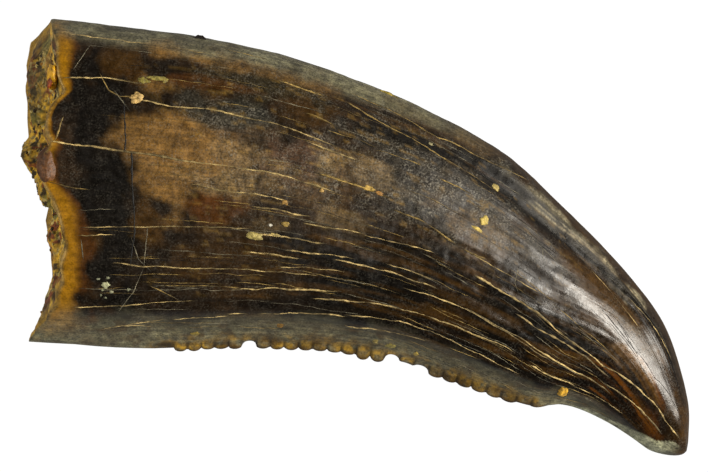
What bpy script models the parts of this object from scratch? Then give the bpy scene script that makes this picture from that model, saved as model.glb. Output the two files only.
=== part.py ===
"""A fossil raptor tooth: one curved, serrated crown lying on its flank, with sediment packed in its broken base.

The sizes below are in millimetres, and the meshes are made in metres. +Z is up. +X runs from the broken base
towards the tip, and +Y towards the convex front edge. The origin is on the resting surface, under the middle of
the tooth. A place on the crown is given by two numbers: "along", 0 behind the base and 1 at the tip, and "turn",
an angle round the section, 0 on the front edge, a quarter turn on the upper flank and a half turn on the serrated
back edge. "Chord" is the same place across the tooth, 1 on the front edge and -1 on the back edge.
"""

import math

import bmesh
import bpy
import numpy as np

MM = 0.001

# Stations along the crown, from behind the base to the tip: front edge x and y, back edge x and y, half thickness.
STATIONS = np.array(
    (
        (-5.82, 3.79, -5.82, -1.77, 1.52),
        (-4.18, 3.64, -4.25, -1.84, 1.50),
        (-2.55, 3.40, -2.78, -1.80, 1.46),
        (-1.10, 3.08, -1.58, -1.77, 1.40),
        (0.26, 2.62, -0.56, -1.83, 1.33),
        (1.46, 2.08, 0.44, -1.97, 1.24),
        (2.49, 1.46, 1.34, -2.25, 1.13),
        (3.43, 0.75, 2.23, -2.55, 1.01),
        (4.20, 0.06, 3.00, -2.81, 0.88),
        (4.88, -0.71, 3.72, -2.90, 0.75),
        (5.39, -1.47, 4.30, -3.15, 0.62),
        (5.68, -2.32, 4.78, -3.45, 0.50),
        (5.81, -2.95, 5.13, -3.70, 0.42),
        (5.89, -3.41, 5.55, -3.94, 0.36),
    )
)
TIP_ROUNDS_FROM = 0.955
FRONT_FULLNESS = 2.5  # exponents of the section's superellipse: 2 is an ellipse, more is boxier
BACK_FULLNESS = 2.7
KEEL = 0.52  # how far the section is thinned at the back edge
KEEL_WIDTH = 0.22  # how far the keel reaches in, in chord
FALL = 0.16  # how far the section is thinned over its whole width, from its crest to the back edge
CREST = 0.45  # chord of the crest
REST_FLAT = 0.05  # how much of the lower flank is worn flat where the tooth rests

# Shallow flutes on both flanks: places along the crown and the flute's chord there, its depth and its half width
# in chord.
FLUTES = (
    (((0.40, 0.90), (0.58, 0.92), (0.70, 0.94), (0.80, 0.94), (0.88, 0.90)), 0.040, 0.030),
    (((0.42, 0.84), (0.60, 0.77), (0.70, 0.70), (0.76, 0.66), (0.86, 0.63), (0.93, 0.70)), 0.075, 0.075),
    (((0.52, 0.46), (0.60, 0.38), (0.68, 0.26), (0.74, 0.12)), 0.020, 0.100),
)
FLUTE_GROWS = (0.09, 0.06)  # from how far before its first place to how far beyond it a flute grows
FLUTE_FADES = (0.03, 0.05)  # the same where it fades, at its last place

# A long step on both flanks, lower on its front side: places along the crown and the chord of its middle there.
FOLD = np.array(((0.68, 0.60), (0.76, 0.53), (0.80, 0.48), (0.87, 0.34), (0.90, 0.37), (0.93, 0.46), (0.96, 0.52)))
FOLD_DEPTH = 0.20
FOLD_WIDTH = 0.60  # in chord
FOLD_GROWS = (0.60, 0.78)  # from where to where along the crown

# The thin ridge on the back edge and its denticles. Below zero is a chip, which bites into the ridge.
RIDGE_FROM, RIDGE_GROWN, RIDGE_FADES, RIDGE_ENDS = 0.08, 0.19, 0.77, 0.80
RIDGE_HEIGHT = 0.07
RIDGE_HALF_WIDTH = 0.10
FIRST_DENTICLE = 2.74  # distance of the first one along the back edge, from behind the base
PITCH_AT_BASE = 0.229
PITCH_GROWTH = 0.00088  # added to the distance of denticle k, times k squared
DENTICLE_HEIGHTS = (
    (0.07, 0.07, 0.05, 0.05, 0.06, -0.08, 0.06, 0.07, 0.07, 0.06, 0.05, 0.05, 0.06)
    + (0.11, 0.10, -0.09, -0.02, -0.06, 0.06, 0.06, 0.06, 0.06, 0.06, 0.05, 0.00, 0.02)
)

# The break at the base: chord and x of its edge on the upper flank, then on the lower one.
UPPER_BREAK = np.array(
    (
        (-1.00, -5.56),
        (-0.87, -5.25),
        (-0.75, -5.05),
        (-0.62, -4.97),
        (-0.49, -4.95),
        (-0.37, -4.90),
        (-0.28, -4.94),
        (-0.19, -5.05),
        (-0.09, -5.15),
        (-0.01, -5.27),
        (0.16, -5.25),
        (0.24, -5.12),
        (0.31, -5.20),
        (0.39, -5.19),
        (0.49, -5.08),
        (0.56, -4.93),
        (0.65, -5.03),
        (0.78, -5.05),
        (0.91, -5.10),
        (1.00, -5.19),
    )
)
LOWER_BREAK = np.array(
    (
        (-1.00, -5.56),
        (-0.80, -5.34),
        (-0.60, -5.21),
        (-0.40, -5.22),
        (-0.25, -5.30),
        (-0.10, -5.24),
        (0.00, -5.44),
        (0.15, -5.60),
        (0.45, -5.64),
        (0.70, -5.66),
        (0.85, -5.58),
        (1.00, -5.19),
    )
)

# The pulp hollow, and the sediment in it.
WALL = 0.40
HOLLOW_ENDS_AT = 0.40
SEDIMENT_GAP = 0.04
SEDIMENT_ENDS_AT = 0.38
SEDIMENT_SET_BACK = 0.06
# Lumps on the face of the sediment: y, z, height towards -X and radius.
SEDIMENT_LUMPS = (
    (2.55, 1.05, 0.22, 0.42),
    (1.52, 0.62, 0.42, 0.20),
    (1.05, 0.90, 0.34, 0.30),
    (0.72, 1.25, 0.30, 0.26),
    (0.05, 1.10, 0.24, 0.24),
    (-0.45, 1.70, 0.12, 0.30),
    (1.90, 1.90, 0.14, 0.30),
    (3.00, 1.60, 0.16, 0.26),
    (-1.05, 1.00, 0.20, 0.22),
)
SEDIMENT_ROUGHNESS = 0.055

# Mesh fineness.
COLUMNS = 36
RIDGE_TURN = math.radians(3.5)  # an extra column on each side of the back edge
ROWS_PER_DENTICLE = (0.0, 0.3, 0.7)
ROWS_AT_BREAK = 5
EVEN_FROM = 0.12  # beyond this the rows run straight across the crown
ROWS_BEFORE_DENTICLES = 4
ROWS_AT_TIP = 13
HOLLOW_ROWS = 6
SEDIMENT_RINGS = 12

TOOTH_COLOUR = (0.075, 0.042, 0.022)
SEDIMENT_COLOUR = (0.33, 0.22, 0.07)


def through(knots, values, at):
    """The smooth curve through the values at the knots: cubic pieces whose slopes agree where they meet."""
    values = np.asarray(values, float)
    at = np.asarray(at, float)
    slopes = np.gradient(values, knots, axis=0)
    piece = np.clip(np.searchsorted(knots, at, side="right") - 1, 0, len(knots) - 2)
    width = knots[piece + 1] - knots[piece]
    t = (at - knots[piece]) / width
    if values.ndim > 1:
        t = t[..., None]
        width = width[..., None]
    return (
        (1 + 2 * t) * (1 - t) ** 2 * values[piece]
        + t * (1 - t) ** 2 * width * slopes[piece]
        + t * t * (3 - 2 * t) * values[piece + 1]
        + t * t * (t - 1) * width * slopes[piece + 1]
    )


def path_length(points):
    """Distance of each point along the path through them all."""
    steps = np.linalg.norm(np.diff(points, axis=0), axis=1)
    return np.concatenate(([0.0], np.cumsum(steps)))


FRONT_EDGE = STATIONS[:, 0:2]
BACK_EDGE = STATIONS[:, 2:4]
MIDDLE = (FRONT_EDGE + BACK_EDGE) / 2
HALF_CHORD = (FRONT_EDGE - BACK_EDGE) / 2
KNOTS = path_length(MIDDLE) / path_length(MIDDLE)[-1]


def tip_factor(along):
    """1 along the crown, falling to 0 at the tip as a quarter of an ellipse, which rounds it."""
    past = np.clip((along - TIP_ROUNDS_FROM) / (1 - TIP_ROUNDS_FROM), 0, 1)
    return np.sqrt(1 - past * past)


def section_place(turn):
    """Where a turn lies in a section: its chord, and its height as a share of the half thickness, less the keel."""
    fullness = np.where(np.cos(turn) > 0, FRONT_FULLNESS, BACK_FULLNESS)
    chord = np.sign(np.cos(turn)) * np.abs(np.cos(turn)) ** (2 / fullness)
    height = np.sign(np.sin(turn)) * np.abs(np.sin(turn)) ** (2 / fullness)
    thinned = KEEL * np.clip(1 - (1 + chord) / KEEL_WIDTH, 0, 1) ** 1.2
    thinned = thinned + FALL * np.clip((CREST - chord) / (1 + CREST), 0, 1) ** 1.5
    return chord, height * (1 - thinned)


def flute_depth(along, chord):
    """How deep the flutes and the fold are at a place on a flank. They get less deep towards the tip."""
    depth = np.zeros_like(along + chord)
    for path, deepest, half_width in FLUTES:
        places, chords = np.array(path).T
        centre = np.interp(along, places, chords)
        grown = np.interp(along, (places[0] - FLUTE_GROWS[0], places[0] + FLUTE_GROWS[1]), (0, 1))
        left = np.interp(along, (places[-1] - FLUTE_FADES[0], places[-1] + FLUTE_FADES[1]), (1, 0))
        depth += deepest * grown * left * np.exp(-(((chord - centre) / half_width) ** 2))
    middle = np.interp(along, FOLD[:, 0], FOLD[:, 1])
    step = np.clip((chord - middle) / FOLD_WIDTH + 0.5, 0, 1)
    depth += FOLD_DEPTH * np.interp(along, FOLD_GROWS, (0, 1)) * step * step * (3 - 2 * step)
    return depth * np.clip((1.1 - along) / 0.6, 0, 1) * tip_factor(along)


def denticle_start(k):
    """Distance along the back edge at which denticle k starts. A fraction of k lies part of the way over it."""
    return FIRST_DENTICLE + PITCH_AT_BASE * k + PITCH_GROWTH * k * k


def ridge_height(along):
    """How far the ridge stands out of the back edge: its own height, and half an ellipse over each denticle."""
    plain = RIDGE_HEIGHT * np.interp(along, (RIDGE_FROM, RIDGE_GROWN, RIDGE_FADES, RIDGE_ENDS), (0, 1, 1, 0))
    distance = np.interp(along, FINE_ALONG, BACK_DISTANCE)
    past = np.maximum(distance - FIRST_DENTICLE, 0)
    k = (np.sqrt(PITCH_AT_BASE**2 + 4 * PITCH_GROWTH * past) - PITCH_AT_BASE) / (2 * PITCH_GROWTH)
    index = np.floor(k + 1e-6).astype(int)
    inside = (distance >= FIRST_DENTICLE - 1e-6) & (index < len(DENTICLE_HEIGHTS))
    full = np.take(DENTICLE_HEIGHTS, np.clip(index, 0, len(DENTICLE_HEIGHTS) - 1))
    across = np.clip(2 * (k - index) - 1, -1, 1)
    return plain + np.where(inside, full * np.sqrt(1 - across * across), 0.0)


def inner_point(along, turn, inset):
    """A point set in from the plain crown by a wall of the given thickness, in millimetres."""
    along, turn = np.broadcast_arrays(along, turn)
    chord, height = section_place(turn)
    half_chord = through(KNOTS, HALF_CHORD, along)
    length = np.linalg.norm(half_chord, axis=-1)
    thickness = through(KNOTS, STATIONS[:, 4], along)
    across = chord * tip_factor(along) * (1 - inset / length)
    middle = through(KNOTS, MIDDLE, along)
    plan = middle + half_chord * across[..., None]
    z = thickness + height * tip_factor(along) * (thickness - inset)
    return np.concatenate((plan, z[..., None]), axis=-1)


def crown_point(along, turn):
    """A point of the crown's outside, in millimetres, with its flutes, its serrated ridge and its flat rest."""
    along, turn = np.broadcast_arrays(along, turn)
    point = inner_point(along, turn, 0.0)
    chord, height = section_place(turn)
    point[..., 2] -= np.sign(height) * flute_depth(along, chord)
    half_chord = through(KNOTS, HALF_CHORD, along)
    outward = -half_chord / np.linalg.norm(half_chord, axis=-1, keepdims=True)
    off_edge = height * through(KNOTS, STATIONS[:, 4], along) / RIDGE_HALF_WIDTH
    ridge = np.where(chord < 0, ridge_height(along) * np.exp(-(off_edge**2)), 0.0)
    point[..., 0:2] += outward * ridge[..., None]
    point[..., 2] = np.maximum(point[..., 2] - REST_FLAT, 0.0)
    return point


def break_along(turn):
    """Where the break cuts the crown at each turn."""
    chord, height = section_place(turn)
    upper = np.interp(chord, UPPER_BREAK[:, 0], UPPER_BREAK[:, 1])
    lower = np.interp(chord, LOWER_BREAK[:, 0], LOWER_BREAK[:, 1])
    x = np.where(height >= 0, upper, lower)
    return np.interp(x, through(KNOTS, MIDDLE, FINE_ALONG)[:, 0], FINE_ALONG)


FINE_ALONG = np.linspace(0, 1, 801)
BACK_DISTANCE = path_length(through(KNOTS, BACK_EDGE, FINE_ALONG))


def column_turns():
    """The turns of the mesh's columns, evenly round the section, with one more on each side of the back edge."""
    even = np.arange(COLUMNS) * 2 * math.pi / COLUMNS
    extra = (math.pi - RIDGE_TURN, math.pi + RIDGE_TURN)
    return np.sort(np.concatenate((even, extra)))


def straight_rows():
    """The places along the crown of the rows beyond the break: a few for each denticle, and more at the tip."""
    distances = [denticle_start(k + part) for k in range(len(DENTICLE_HEIGHTS)) for part in ROWS_PER_DENTICLE]
    distances.append(denticle_start(len(DENTICLE_HEIGHTS)))
    serrated = np.interp(distances, BACK_DISTANCE, FINE_ALONG)
    before = np.linspace(EVEN_FROM, serrated[0], ROWS_BEFORE_DENTICLES, endpoint=False)
    quarter = np.linspace(0, math.pi / 2, ROWS_AT_TIP + 1)[1:-1]
    at_tip = serrated[-1] + (1 - serrated[-1]) * np.sin(quarter)
    return np.concatenate((before, serrated, at_tip))


def sediment_bulge(y, z):
    """How far the face of the sediment stands out towards -X: its lumps, and small waves for its crumbly grain."""
    bulge = np.zeros_like(y)
    for lump_y, lump_z, height, radius in SEDIMENT_LUMPS:
        far = (y - lump_y) ** 2 + (z - lump_z) ** 2
        bulge = bulge + height * np.exp(-far / radius**2)
    waves = np.sin(9.1 * y + 2.3 * z) * np.sin(7.3 * z - 3.1 * y + 1.0) + 0.6 * np.sin(17.0 * y - 11.0 * z)
    return bulge + SEDIMENT_ROUGHNESS * waves


def solid_from_rings(name, rings, poles, colour, roughness):
    """One closed object whose faces join each ring to the next, and the first and last ring to the two poles."""
    shape = bmesh.new()
    loops = [[shape.verts.new(point * MM) for point in ring] for ring in rings]
    for loop, following in zip(loops, loops[1:]):
        for i in range(len(loop)):
            j = (i + 1) % len(loop)
            shape.faces.new((loop[i], loop[j], following[j], following[i]))
    for loop, pole in ((loops[0], poles[0]), (loops[-1], poles[1])):
        middle = shape.verts.new(np.asarray(pole) * MM)
        for i in range(len(loop)):
            shape.faces.new((loop[i], loop[(i + 1) % len(loop)], middle))
    bmesh.ops.recalc_face_normals(shape, faces=shape.faces)
    bmesh.ops.triangulate(shape, faces=shape.faces)
    mesh = bpy.data.meshes.new(name)
    shape.to_mesh(mesh)
    shape.free()
    mesh.shade_smooth()
    mesh.set_sharp_from_angle(angle=math.radians(40))
    made = bpy.data.objects.new(name, mesh)
    made.data.materials.append(plain_material(name + "_finish", colour, roughness))
    bpy.context.scene.collection.objects.link(made)
    return made


def plain_material(name, colour, roughness):
    """A plain finish of one colour."""
    material = bpy.data.materials.new(name)
    material.use_nodes = True
    shader = material.node_tree.nodes["Principled BSDF"]
    shader.inputs["Base Color"].default_value = (*colour, 1.0)
    shader.inputs["Roughness"].default_value = roughness
    shader.inputs["Metallic"].default_value = 0.0
    return material


def hollow_rings(turns, inset, ends_at):
    """The rings of the pulp hollow from its mouth inwards. They narrow to a point at ends_at."""
    mouth = break_along(turns)
    rings = []
    for share in np.linspace(0, 1, HOLLOW_ROWS, endpoint=False):
        along = mouth + (ends_at - mouth) * share
        ring = inner_point(along, turns, inset)
        axis = ring.mean(axis=0)
        rings.append(axis + (ring - axis) * math.sqrt(1 - share))
    return rings


def hollow_end(ends_at):
    """The point in which the hollow ends, on the crown's middle line."""
    plan = through(KNOTS, MIDDLE, np.array(ends_at))
    return (*plan, float(through(KNOTS, STATIONS[:, 4], np.array(ends_at))))


def build_tooth(turns):
    """The crown: its outside from the tip back to the break, the broken wall, and the pulp hollow within."""
    outside = [crown_point(along, turns) for along in straight_rows()[::-1]]
    mouth = break_along(turns)
    for share in np.linspace(1, 0, ROWS_AT_BREAK, endpoint=False)[1:]:
        outside.append(crown_point(mouth + (EVEN_FROM - mouth) * share, turns))
    outside.append(crown_point(mouth, turns))
    tip = crown_point(np.array(1.0), np.array(0.0))
    rings = outside + hollow_rings(turns, WALL, HOLLOW_ENDS_AT)
    return solid_from_rings("tooth", rings, (tip, hollow_end(HOLLOW_ENDS_AT)), TOOTH_COLOUR, 0.3)


def build_sediment(turns):
    """The sediment that fills the hollow, with a lumpy face at the break."""
    within = hollow_rings(turns, WALL + SEDIMENT_GAP, SEDIMENT_ENDS_AT)
    mouth = within[0]
    centre = mouth.mean(axis=0)
    face = []
    for share in np.linspace(0, 1, SEDIMENT_RINGS, endpoint=False)[1:]:
        ring = centre + (mouth - centre) * share
        edge_fade = 1 - share**6
        ring[:, 0] -= (sediment_bulge(ring[:, 1], ring[:, 2]) - SEDIMENT_SET_BACK) * edge_fade
        face.append(ring)
    middle = centre.copy()
    middle[0] -= sediment_bulge(centre[1], centre[2]) - SEDIMENT_SET_BACK
    poles = (middle, hollow_end(SEDIMENT_ENDS_AT))
    return solid_from_rings("sediment", face + within, poles, SEDIMENT_COLOUR, 0.85)


def main():
    for left in list(bpy.data.objects):
        bpy.data.objects.remove(left)
    turns = column_turns()
    build_tooth(turns)
    build_sediment(turns)


main()
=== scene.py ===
"""The looks of a fossil raptor tooth, which lies on its flank on a pale floor.

The shapes are worked out in millimetres, and become metres where a mesh is made. A place on the crown is
given by "along", 0 behind the broken base and 1 at the tip, and "turn", an angle round the section: 0 on the
convex front edge, a quarter turn on the upper flank, half a turn on the serrated back edge. "Chord" is the
same place across the tooth, 1 on the front edge and -1 on the back edge.
"""

import functools
import itertools
import logging
import math
from dataclasses import dataclass, field
from enum import Enum

import bpy
import numpy as np
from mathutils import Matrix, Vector


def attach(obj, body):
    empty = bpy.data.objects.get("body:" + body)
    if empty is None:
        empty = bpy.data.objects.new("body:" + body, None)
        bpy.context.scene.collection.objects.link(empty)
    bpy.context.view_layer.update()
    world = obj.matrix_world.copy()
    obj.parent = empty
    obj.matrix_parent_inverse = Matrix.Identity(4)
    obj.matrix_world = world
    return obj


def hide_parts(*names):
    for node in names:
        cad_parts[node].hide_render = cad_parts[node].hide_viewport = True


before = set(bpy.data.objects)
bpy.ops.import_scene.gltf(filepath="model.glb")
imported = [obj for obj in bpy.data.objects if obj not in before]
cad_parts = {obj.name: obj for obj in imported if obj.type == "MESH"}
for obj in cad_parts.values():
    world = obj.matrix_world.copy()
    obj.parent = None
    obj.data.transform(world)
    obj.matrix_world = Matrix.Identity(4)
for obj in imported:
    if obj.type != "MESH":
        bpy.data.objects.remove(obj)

log = logging.getLogger("raptor_tooth")
Array = np.ndarray
Piece = bpy.types.Object
Socket = bpy.types.NodeSocket
Inputs = dict[str | int, Socket | float | tuple[float, ...]]
# Red, green and blue as a screen shows them, from 0 to 255.
Colour = tuple[int, int, int]
Range = tuple[float, float]
Triple = tuple[float, float, float]
Pairs = tuple[Range, ...]
# Height, cell and seed of each of some noises.
Waves = tuple[tuple[float, float, int], ...]
MM = 0.001
FULL_TURN = 2 * math.pi
SCREEN_WHITE = 255
SCREEN_POWER = 2.2
CORNER_PRIMES = (73856093, 19349663, 83492791)
SEED_PRIME = 2654435761
MIXING_PRIME = 1274126177


def between(pairs: Pairs, at: Array) -> Array:
    """Second numbers of the pairs, read at places among the first ones, with straight lines between them."""
    return np.interp(at, *np.array(pairs).T)


def through(knots: Array, values: Array, at: Array) -> Array:
    """The smooth curve through values at knots: cubic pieces whose slopes agree where they meet.

    Args:
        knots: Rising places of the values.
        values: One number or one row of numbers per knot.
        at: Where to read the curve.

    Returns:
        The curve's values, with a last axis of its own where values has one.
    """
    values = np.asarray(values, float)
    at = np.asarray(at, float)
    slopes = np.gradient(values, knots, axis=0)
    piece = np.clip(np.searchsorted(knots, at, side="right") - 1, 0, len(knots) - 2)
    width = knots[piece + 1] - knots[piece]
    t = (at - knots[piece]) / width
    if values.ndim > 1:
        t = t[..., None]
        width = width[..., None]
    return (
        (1 + 2 * t) * (1 - t) ** 2 * values[piece]
        + t * (1 - t) ** 2 * width * slopes[piece]
        + t * t * (3 - 2 * t) * values[piece + 1]
        + t * t * (t - 1) * width * slopes[piece + 1]
    )


def path_length(points: Array) -> Array:
    """Distance of each point along the path through them all."""
    steps = np.linalg.norm(np.diff(points, axis=0), axis=1)
    return np.concatenate(([0.0], np.cumsum(steps)))


def ease(low: float, high: float, value: Array) -> Array:
    """0 below low, 1 above high, and 3t^2 - 2t^3 between them. High may be the lesser, which turns it round.
    """
    t = np.clip((np.asarray(value, float) - low) / (high - low), 0, 1)
    return t * t * (3 - 2 * t)


def lattice_noise(place: Array, seed: int) -> Array:
    """Smooth noise: a set value from -1 to 1 at each corner of the unit cubes, blended between the corners.

    Args:
        place: Points, with x, y and z on the last axis, in cells.
        seed: Another seed gives other values.

    Returns:
        One value per point.
    """
    corner = np.floor(place).astype(np.int64)
    part = place - corner
    blend = part * part * (3 - 2 * part)
    total = np.zeros(place.shape[:-1])
    for step in itertools.product((0, 1), repeat=3):
        cell = corner + np.array(step)
        mixed = seed * SEED_PRIME
        for axis, prime in enumerate(CORNER_PRIMES):
            mixed = mixed ^ cell[..., axis] * prime
        mixed = (mixed ^ (mixed >> 13)) * MIXING_PRIME
        value = ((mixed ^ (mixed >> 16)) & 0xFFFF) / 32767.5 - 1
        total += value * np.prod(np.where(np.array(step) == 1, blend, 1 - blend), axis=-1)
    return total


def cloud(place: Array, cell: float, seed: int, octaves: int = 3) -> Array:
    """Noise of several sizes, each half as large and half as strong as the one before, kept near -1 to 1."""
    parts = [lattice_noise(place / (cell / 2**k), seed + k) / 2**k for k in range(octaves)]
    return np.sum(parts, axis=0) * 1.2


def light_of(colour: Colour) -> Array:
    """A screen colour as light, from 0 to 1: each value over 255, to the power 2.2."""
    return (np.array(colour) / SCREEN_WHITE) ** SCREEN_POWER


def flat(x: Array, y: Array) -> Array:
    """Points with the given x and y, for noise that only varies over a plane."""
    x, y = np.broadcast_arrays(x, y)
    return np.stack((x, y, np.zeros_like(x)), axis=-1)


class Side(Enum):
    """The flank that faces up, and the one on the floor."""

    UPPER = 1
    LOWER = -1


@dataclass(frozen=True)
class Pigment:
    """How one kind of patch on the enamel looks.

    Attributes:
        colour: Its colour.
        specks: How thickly it is strewn with pale specks, painted glints of tiny facets, from 0 to 1.
        roughness: 0 is a mirror and 1 is chalk.
    """

    colour: Colour
    specks: float
    roughness: float

    def linear(self) -> Array:
        """The colour as light."""
        return light_of(self.colour)

    def look(self) -> Array:
        """The colour as light, the painted glints and the roughness."""
        return np.array((*self.linear(), self.specks, self.roughness))


class Tone(Enum):
    """The kinds of patch on the enamel and the bare dentine; a few of them are painted sheen, a painted
    highlight and painted reflection.
    """

    BROWN = Pigment((42, 30, 15), 0.25, 0.34)
    INKY = Pigment((17, 14, 10), 0.12, 0.30)
    UMBER = Pigment((62, 43, 14), 0.14, 0.32)
    AMBER = Pigment((114, 84, 40), 0.30, 0.40)
    RUST = Pigment((88, 52, 15), 0.08, 0.28)
    TAUPE = Pigment((80, 64, 42), 0.70, 0.38)
    FAWN = Pigment((110, 90, 58), 0.70, 0.38)
    # Painted reflection: a grey veil where the polished enamel mirrors the bright surroundings.
    SLATE = Pigment((46, 45, 38), 0.70, 0.36)
    OLIVE = Pigment((50, 44, 27), 0.55, 0.38)
    PLUM = Pigment((68, 47, 34), 0.50, 0.34)
    # Painted sheen: greyer, speckled zones where the polished enamel catches the lamps.
    STEEL = Pigment((41, 38, 30), 1.00, 0.38)
    SILVER = Pigment((60, 54, 40), 1.00, 0.36)
    # Painted highlight: the pale band on the ridge behind the front edge, near the tip.
    BAND = Pigment((150, 140, 112), 1.00, 0.32)
    # Partly the enamel's own grey-olive, partly painted reflection of the bright floor on the steep edges.
    ASH = Pigment((108, 104, 79), 0.50, 0.74)
    MOSS = Pigment((50, 34, 6), 0.10, 0.66)
    HONEY = Pigment((144, 101, 12), 0.03, 0.36)
    TAN = Pigment((70, 42, 6), 0.05, 0.36)
    OCHRE = Pigment((122, 94, 32), 0.30, 0.60)
    MUSTARD = Pigment((160, 124, 34), 0.10, 0.60)
    CREAM = Pigment((206, 170, 100), 0.00, 0.55)
    WORN = Pigment((142, 143, 116), 0.90, 0.74)


@dataclass(frozen=True)
class CrownForm:
    """The crown's plain shape, as in its solid.

    Attributes:
        stations: Front edge x and y, back edge x and y, and half thickness, from behind the base to the tip.
        tip_rounds_from: Where along the crown its end starts to round off.
        front_fullness: Exponent of the section's superellipse towards the front edge.
        back_fullness: The same towards the back edge.
        keel: How far the section is thinned at the back edge, which makes it a keel.
        keel_width: How far the keel reaches in, in chord.
        fall: How far the section is thinned over its whole width, from its crest to the back edge.
        crest: Chord of the crest.
        rest_flat: How much of the lower flank is worn flat where the tooth rests.
        upper_break: Chord and x along the broken edge of the upper flank.
        lower_break: The same on the lower flank.
        break_wander: How far the broken edge wanders from those.
        drifts: Place along the crown, and how far the strands have swung towards the back edge there, in
            chord.
    """

    stations: tuple[tuple[float, ...], ...] = (
        (-5.82, 3.79, -5.82, -1.77, 1.52),
        (-4.18, 3.64, -4.25, -1.84, 1.50),
        (-2.55, 3.40, -2.78, -1.80, 1.46),
        (-1.10, 3.08, -1.58, -1.77, 1.40),
        (0.26, 2.62, -0.56, -1.83, 1.33),
        (1.46, 2.08, 0.44, -1.97, 1.24),
        (2.49, 1.46, 1.34, -2.25, 1.13),
        (3.43, 0.75, 2.23, -2.55, 1.01),
        (4.20, 0.06, 3.00, -2.81, 0.88),
        (4.88, -0.71, 3.72, -2.90, 0.75),
        (5.39, -1.47, 4.30, -3.15, 0.62),
        (5.68, -2.32, 4.78, -3.45, 0.50),
        (5.81, -2.95, 5.13, -3.70, 0.42),
        (5.89, -3.41, 5.55, -3.94, 0.36),
    )
    tip_rounds_from: float = 0.955
    front_fullness: float = 2.5
    back_fullness: float = 2.7
    keel: float = 0.52
    keel_width: float = 0.22
    fall: float = 0.16
    crest: float = 0.45
    rest_flat: float = 0.05
    upper_break: Pairs = (
        (-1.00, -5.56), (-0.87, -5.25), (-0.75, -5.05), (-0.62, -4.97), (-0.49, -4.95), (-0.37, -4.90),
        (-0.28, -4.94), (-0.19, -5.05), (-0.09, -5.15), (-0.01, -5.27), (0.16, -5.25), (0.24, -5.12),
        (0.31, -5.20), (0.39, -5.19), (0.49, -5.08), (0.56, -4.93), (0.65, -5.03), (0.78, -5.05),
        (0.91, -5.10), (1.00, -5.19),
    )
    lower_break: Pairs = (
        (-1.00, -5.56), (-0.80, -5.34), (-0.60, -5.21), (-0.40, -5.22), (-0.25, -5.30), (-0.10, -5.24),
        (0.00, -5.44), (0.15, -5.60), (0.45, -5.64), (0.70, -5.66), (0.85, -5.58), (1.00, -5.19),
    )
    break_wander: float = 0.035
    drifts: Pairs = ((0.0, 0.0), (0.30, 0.0), (0.58, 0.03), (0.70, 0.04), (0.83, 0.20), (0.97, 0.02))

    @functools.cached_property
    def table(self) -> Array:
        """The stations as an array."""
        return np.array(self.stations)

    @functools.cached_property
    def knots(self) -> Array:
        """Where the stations lie along the crown, from 0 to 1, by the length of the middle line."""
        length = path_length((self.table[:, 0:2] + self.table[:, 2:4]) / 2)
        return length / length[-1]

    @functools.cached_property
    def length(self) -> float:
        """Length of the middle line."""
        return float(path_length((self.table[:, 0:2] + self.table[:, 2:4]) / 2)[-1])

    @functools.cached_property
    def fine(self) -> Array:
        """Closely spaced places along the crown, for reading curves the other way round."""
        return np.linspace(0, 1, 1601)

    @functools.cached_property
    def back_distance(self) -> Array:
        """Distance along the back edge at each of the fine places."""
        return path_length(through(self.knots, self.table[:, 2:4], self.fine))

    def middle(self, along: Array) -> Array:
        """Plan position of the middle line."""
        return through(self.knots, (self.table[:, 0:2] + self.table[:, 2:4]) / 2, along)

    def half_chord(self, along: Array) -> Array:
        """Plan vector from the middle line to the front edge."""
        return through(self.knots, (self.table[:, 0:2] - self.table[:, 2:4]) / 2, along)

    def half_width(self, along: Array) -> Array:
        """Half the width of the crown in the plan, from edge to edge."""
        return np.linalg.norm(self.half_chord(along), axis=-1)

    def half_thickness(self, along: Array) -> Array:
        """Half the thickness of the crown."""
        return through(self.knots, self.table[:, 4], along)

    def tip_factor(self, along: Array) -> Array:
        """1 along the crown, falling to 0 at the tip as a quarter of an ellipse."""
        past = np.clip((along - self.tip_rounds_from) / (1 - self.tip_rounds_from), 0, 1)
        return np.sqrt(1 - past * past)

    def section(self, turn: Array) -> tuple[Array, Array]:
        """Chord and height, each to its share of half the section: cosine and sine to the power 2 / fullness.

        From the crest the height falls off towards the back edge, faster near it, which leaves a keel.

        Args:
            turn: Angles round the section.

        Returns:
            The chords, and the heights.
        """
        fullness = np.where(np.cos(turn) > 0, self.front_fullness, self.back_fullness)
        chord = np.sign(np.cos(turn)) * np.abs(np.cos(turn)) ** (2 / fullness)
        height = np.sign(np.sin(turn)) * np.abs(np.sin(turn)) ** (2 / fullness)
        thinned = self.keel * np.clip(1 - (1 + chord) / self.keel_width, 0, 1) ** 1.2
        thinned = thinned + self.fall * np.clip((self.crest - chord) / (1 + self.crest), 0, 1) ** 1.5
        return chord, height * (1 - thinned)

    def turn_at(self, chord: Array, side: Side) -> Array:
        """The turn at a chord, on one flank: section() the other way round.

        Args:
            chord: The chords.
            side: The flank.

        Returns:
            The turns.
        """
        chord = np.clip(chord, -1, 1)
        fullness = np.where(chord > 0, self.front_fullness, self.back_fullness)
        turn = np.arccos(np.sign(chord) * np.abs(chord) ** (fullness / 2))
        return turn if side is Side.UPPER else FULL_TURN - turn

    def inner_point(self, along: Array, turn: Array, inset: float) -> Array:
        """A point set in from the plain crown by a wall of the given thickness.

        Middle line + half chord vector * chord, at half thickness * (1 + height), both less the wall.

        Args:
            along: Places along the crown.
            turn: Angles round the section.
            inset: Thickness of the wall.

        Returns:
            The points.
        """
        along, turn = np.broadcast_arrays(along, turn)
        chord, height = self.section(turn)
        half = self.half_chord(along)
        thickness = self.half_thickness(along)
        factor = self.tip_factor(along)
        across = chord * factor * (1 - inset / np.linalg.norm(half, axis=-1))
        plan = self.middle(along) + half * across[..., None]
        z = thickness + height * factor * (thickness - inset)
        return np.concatenate((plan, z[..., None]), axis=-1)

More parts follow.
